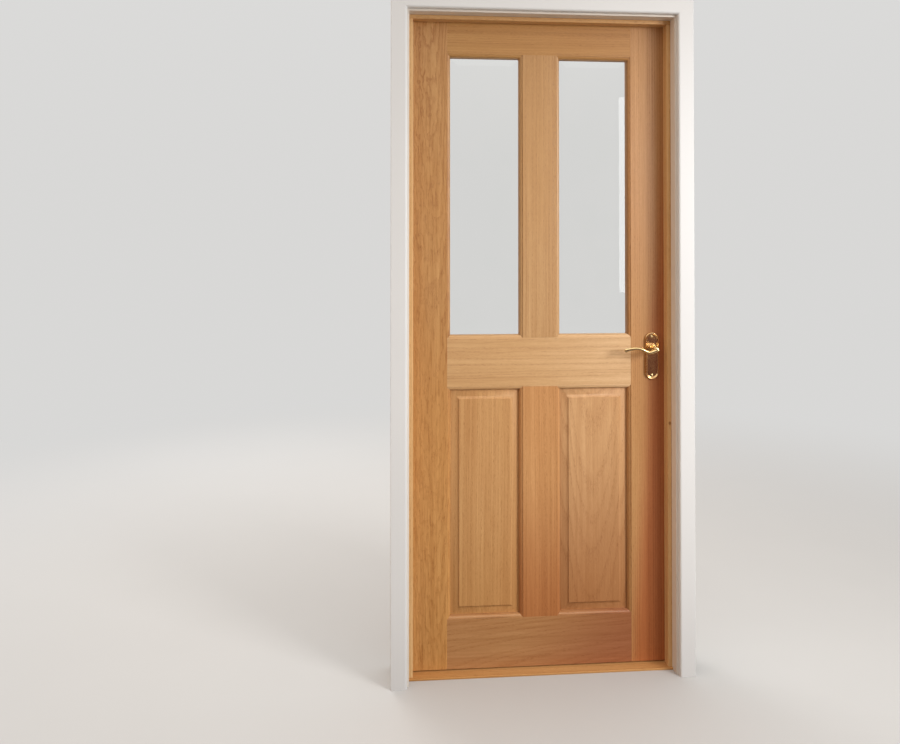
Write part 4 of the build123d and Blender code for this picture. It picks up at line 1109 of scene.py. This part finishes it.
studio = {
    "floorHalf": 12.0, "floorRoughness": 0.7, "floorSpecular": 0.06,
    "mottling": 0.97, "mottleScale": 3.0, "fadeFrom": 1.0, "fadeTo": 4.5,  # to the backdrop
    "floorSeen": (0.54, 0.536, 0.528),  # as the camera sees it; the bounce is what lights the door
    "bounceNear": (0.11, 0.076, 0.054), "bounceFar": (0.3, 0.278, 0.252), "nearTo": 0.5, "farFrom": 1.5,
    "backdropLow": (0.69, 0.685, 0.675), "backdropHigh": (0.75, 0.748, 0.74),
    "room": (0.105, 0.03, 0.026),  # what polished brass sees round it
    "roomLight": (0.34, 0.2, 0.13),  # and in places there
    "overhead": (1.35, 1.29, 1.2),  # what it sees above that
    "ambientLow": (0.1, 0.088, 0.08), "ambientHigh": (1.24, 1.215, 1.18),
    "ambientLeft": (1.2, 0.86, 0.62),  # the warmer side, away from the key lamp
    "patchNoise": (2.6, 3.0),  # scale and detail
    # Between which two values of noise, height or width each colour sets in
    "patches": (0.5, 0.72), "upward": (0.0, 0.9), "above": (0.12, 0.42), "overSides": (0.45, 0.75),
    "leftward": (-1.0, -0.1),
}
lamps = {
    # name: where it stands, where it looks, whether it is seen in reflections, its light
    "key": (
        (2.6, -2.6, 2.0), (0.0, 0.0, 0.87), True,
        {
            "size": 1.3, "size_y": 1.3, "spread": math.radians(74),
            "energy": 20.5, "color": (1.0, 0.985, 0.97),
        },
    ),
    "strip": (  # shows in the bevel of the right pane
        (1.72, -2.63, 1.73), (0.28, 0.03, 1.73), True,
        {"size": 0.26, "size_y": 1.4, "energy": 4.6},
    ),
    "back": (  # in reflections it would be a white sheet in the panes
        (-2.2, 3.4, 2.4), (0.0, 0.0, 1.0), False,
        {"size": 2.4, "size_y": 2.2, "energy": 70.0, "color": (1.0, 0.98, 0.96)},
    ),
}


def raySeen(tree):
    # 1 on rays from the camera, on reflected rays and on rays through the glass; then 1 on
    # reflected rays alone
    path = addNode(tree, "ShaderNodeLightPath")
    bounced = path["Is Glossy Ray"].calc("MAXIMUM", path["Is Transmission Ray"])
    return path["Is Camera Ray"].calc("MAXIMUM", bounced), bounced - path["Is Transmission Ray"]


def raysThrough(tree):
    # 1 on rays from the camera, straight or through the glass
    path = addNode(tree, "ShaderNodeLightPath")
    return path["Is Camera Ray"].calc("MAXIMUM", path["Is Transmission Ray"])


def floorMaterial():
    # Pale where it is seen. The light it throws back is dark by the door and paler from
    # nearTo to farFrom; far off it turns into the backdrop
    material, tree = newMaterial("paleFloor")
    look, place = studio, objectPlace(tree)
    dim = tuple(look["mottling"] * c for c in look["floorSeen"])
    pale = blended(cloud(place, look["mottleScale"]), look["floorSeen"], dim)
    distance = addNode(tree, "ShaderNodeVectorMath", {0: place}, operation="LENGTH")["Value"]
    away = eased(distance, look["nearTo"], look["farFrom"])
    bounce = blended(away, look["bounceNear"], look["bounceFar"])
    shader = addNode(tree, "ShaderNodeBsdfPrincipled", {
        "Base Color": blended(raysThrough(tree), bounce, pale),
        "Roughness": look["floorRoughness"], "Specular IOR Level": look["floorSpecular"],
    })
    seen, mirrored = raySeen(tree)
    fade = eased(distance, look["fadeFrom"], look["fadeTo"]) * seen
    farColour = blended(mirrored, look["backdropLow"], look["room"])
    far = addNode(tree, "ShaderNodeEmission", {"Color": farColour, "Strength": 1.0})
    mixed = addNode(tree, "ShaderNodeMixShader", {0: fade, 1: shader[0], 2: far[0]})
    addNode(tree, "ShaderNodeOutputMaterial", {"Surface": mixed[0]})
    return material


def makeWorld():
    # Seen: a pale backdrop, lighter overhead. Reflected: a darker room, light above.
    # Lighting the door: soft, more from above than from the sides.
    bpy.context.scene.world, tree = emptied(bpy.data.worlds.new("studio"))
    look, around = studio, addNode(tree, "ShaderNodeTexCoord")["Generated"]
    x, _, z = axes(around)
    seen, mirrored = raySeen(tree)
    upward = eased(z, *look["upward"])
    backdrop = blended(upward, look["backdropLow"], look["backdropHigh"])
    patches = eased(cloud(around, *look["patchNoise"]), *look["patches"])
    reflected = blended(patches, look["room"], look["roomLight"])
    reflected = blended(eased(z, *look["above"]), reflected, look["overhead"])
    ambient = blended(upward, look["ambientLow"], look["ambientHigh"])
    leftward = (1.0 - eased(x, *look["leftward"])) * (1.0 - eased(z, *look["overSides"]))
    ambient = blended(leftward, ambient, look["ambientLeft"])
    colour = blended(seen, ambient, blended(mirrored, backdrop, reflected))
    light = addNode(tree, "ShaderNodeBackground", {"Color": colour, "Strength": 1.0})
    addNode(tree, "ShaderNodeOutputWorld", {"Surface": light[0]})


reach = studio["floorHalf"]
floorMesh = bpy.data.meshes.new("floor")
floorMesh.from_pydata(
    [(-reach, -reach, 0), (reach, -reach, 0), (reach, reach, 0), (-reach, reach, 0)], [], [(0, 1, 2, 3)],
)
floorMesh.materials.append(floorMaterial())
inScene("floor", floorMesh)
makeWorld()

for name, (at, aim, glossy, light) in lamps.items():
    lamp = inScene(name, setAll(bpy.data.lights.new(name, "AREA"), shape="RECTANGLE", **light))
    turn = (Vector(aim) - Vector(at)).to_track_quat("-Z", "Y").to_euler()
    setAll(lamp, location=at, rotation_euler=turn)
    setAll(lamp, visible_camera=False, visible_transmission=False, visible_glossy=glossy)

view = {"lens": 30.0, "at": (-0.472, -2.339, 1.312), "yaw": 4.52, "pitch": 0.62, "shift": -0.1411}
lens = {"sensor_width": 36.0, "lens": view["lens"], "shift_y": view["shift"]}
camera = inScene("camera", setAll(bpy.data.cameras.new("camera"), **lens))
camera.location = view["at"]
camera.rotation_euler = (math.radians(90 + view["pitch"]), 0, math.radians(-view["yaw"]))
bpy.context.scene.camera = camera
bpy.context.scene.view_settings.view_transform = "Standard"
print("studio made")
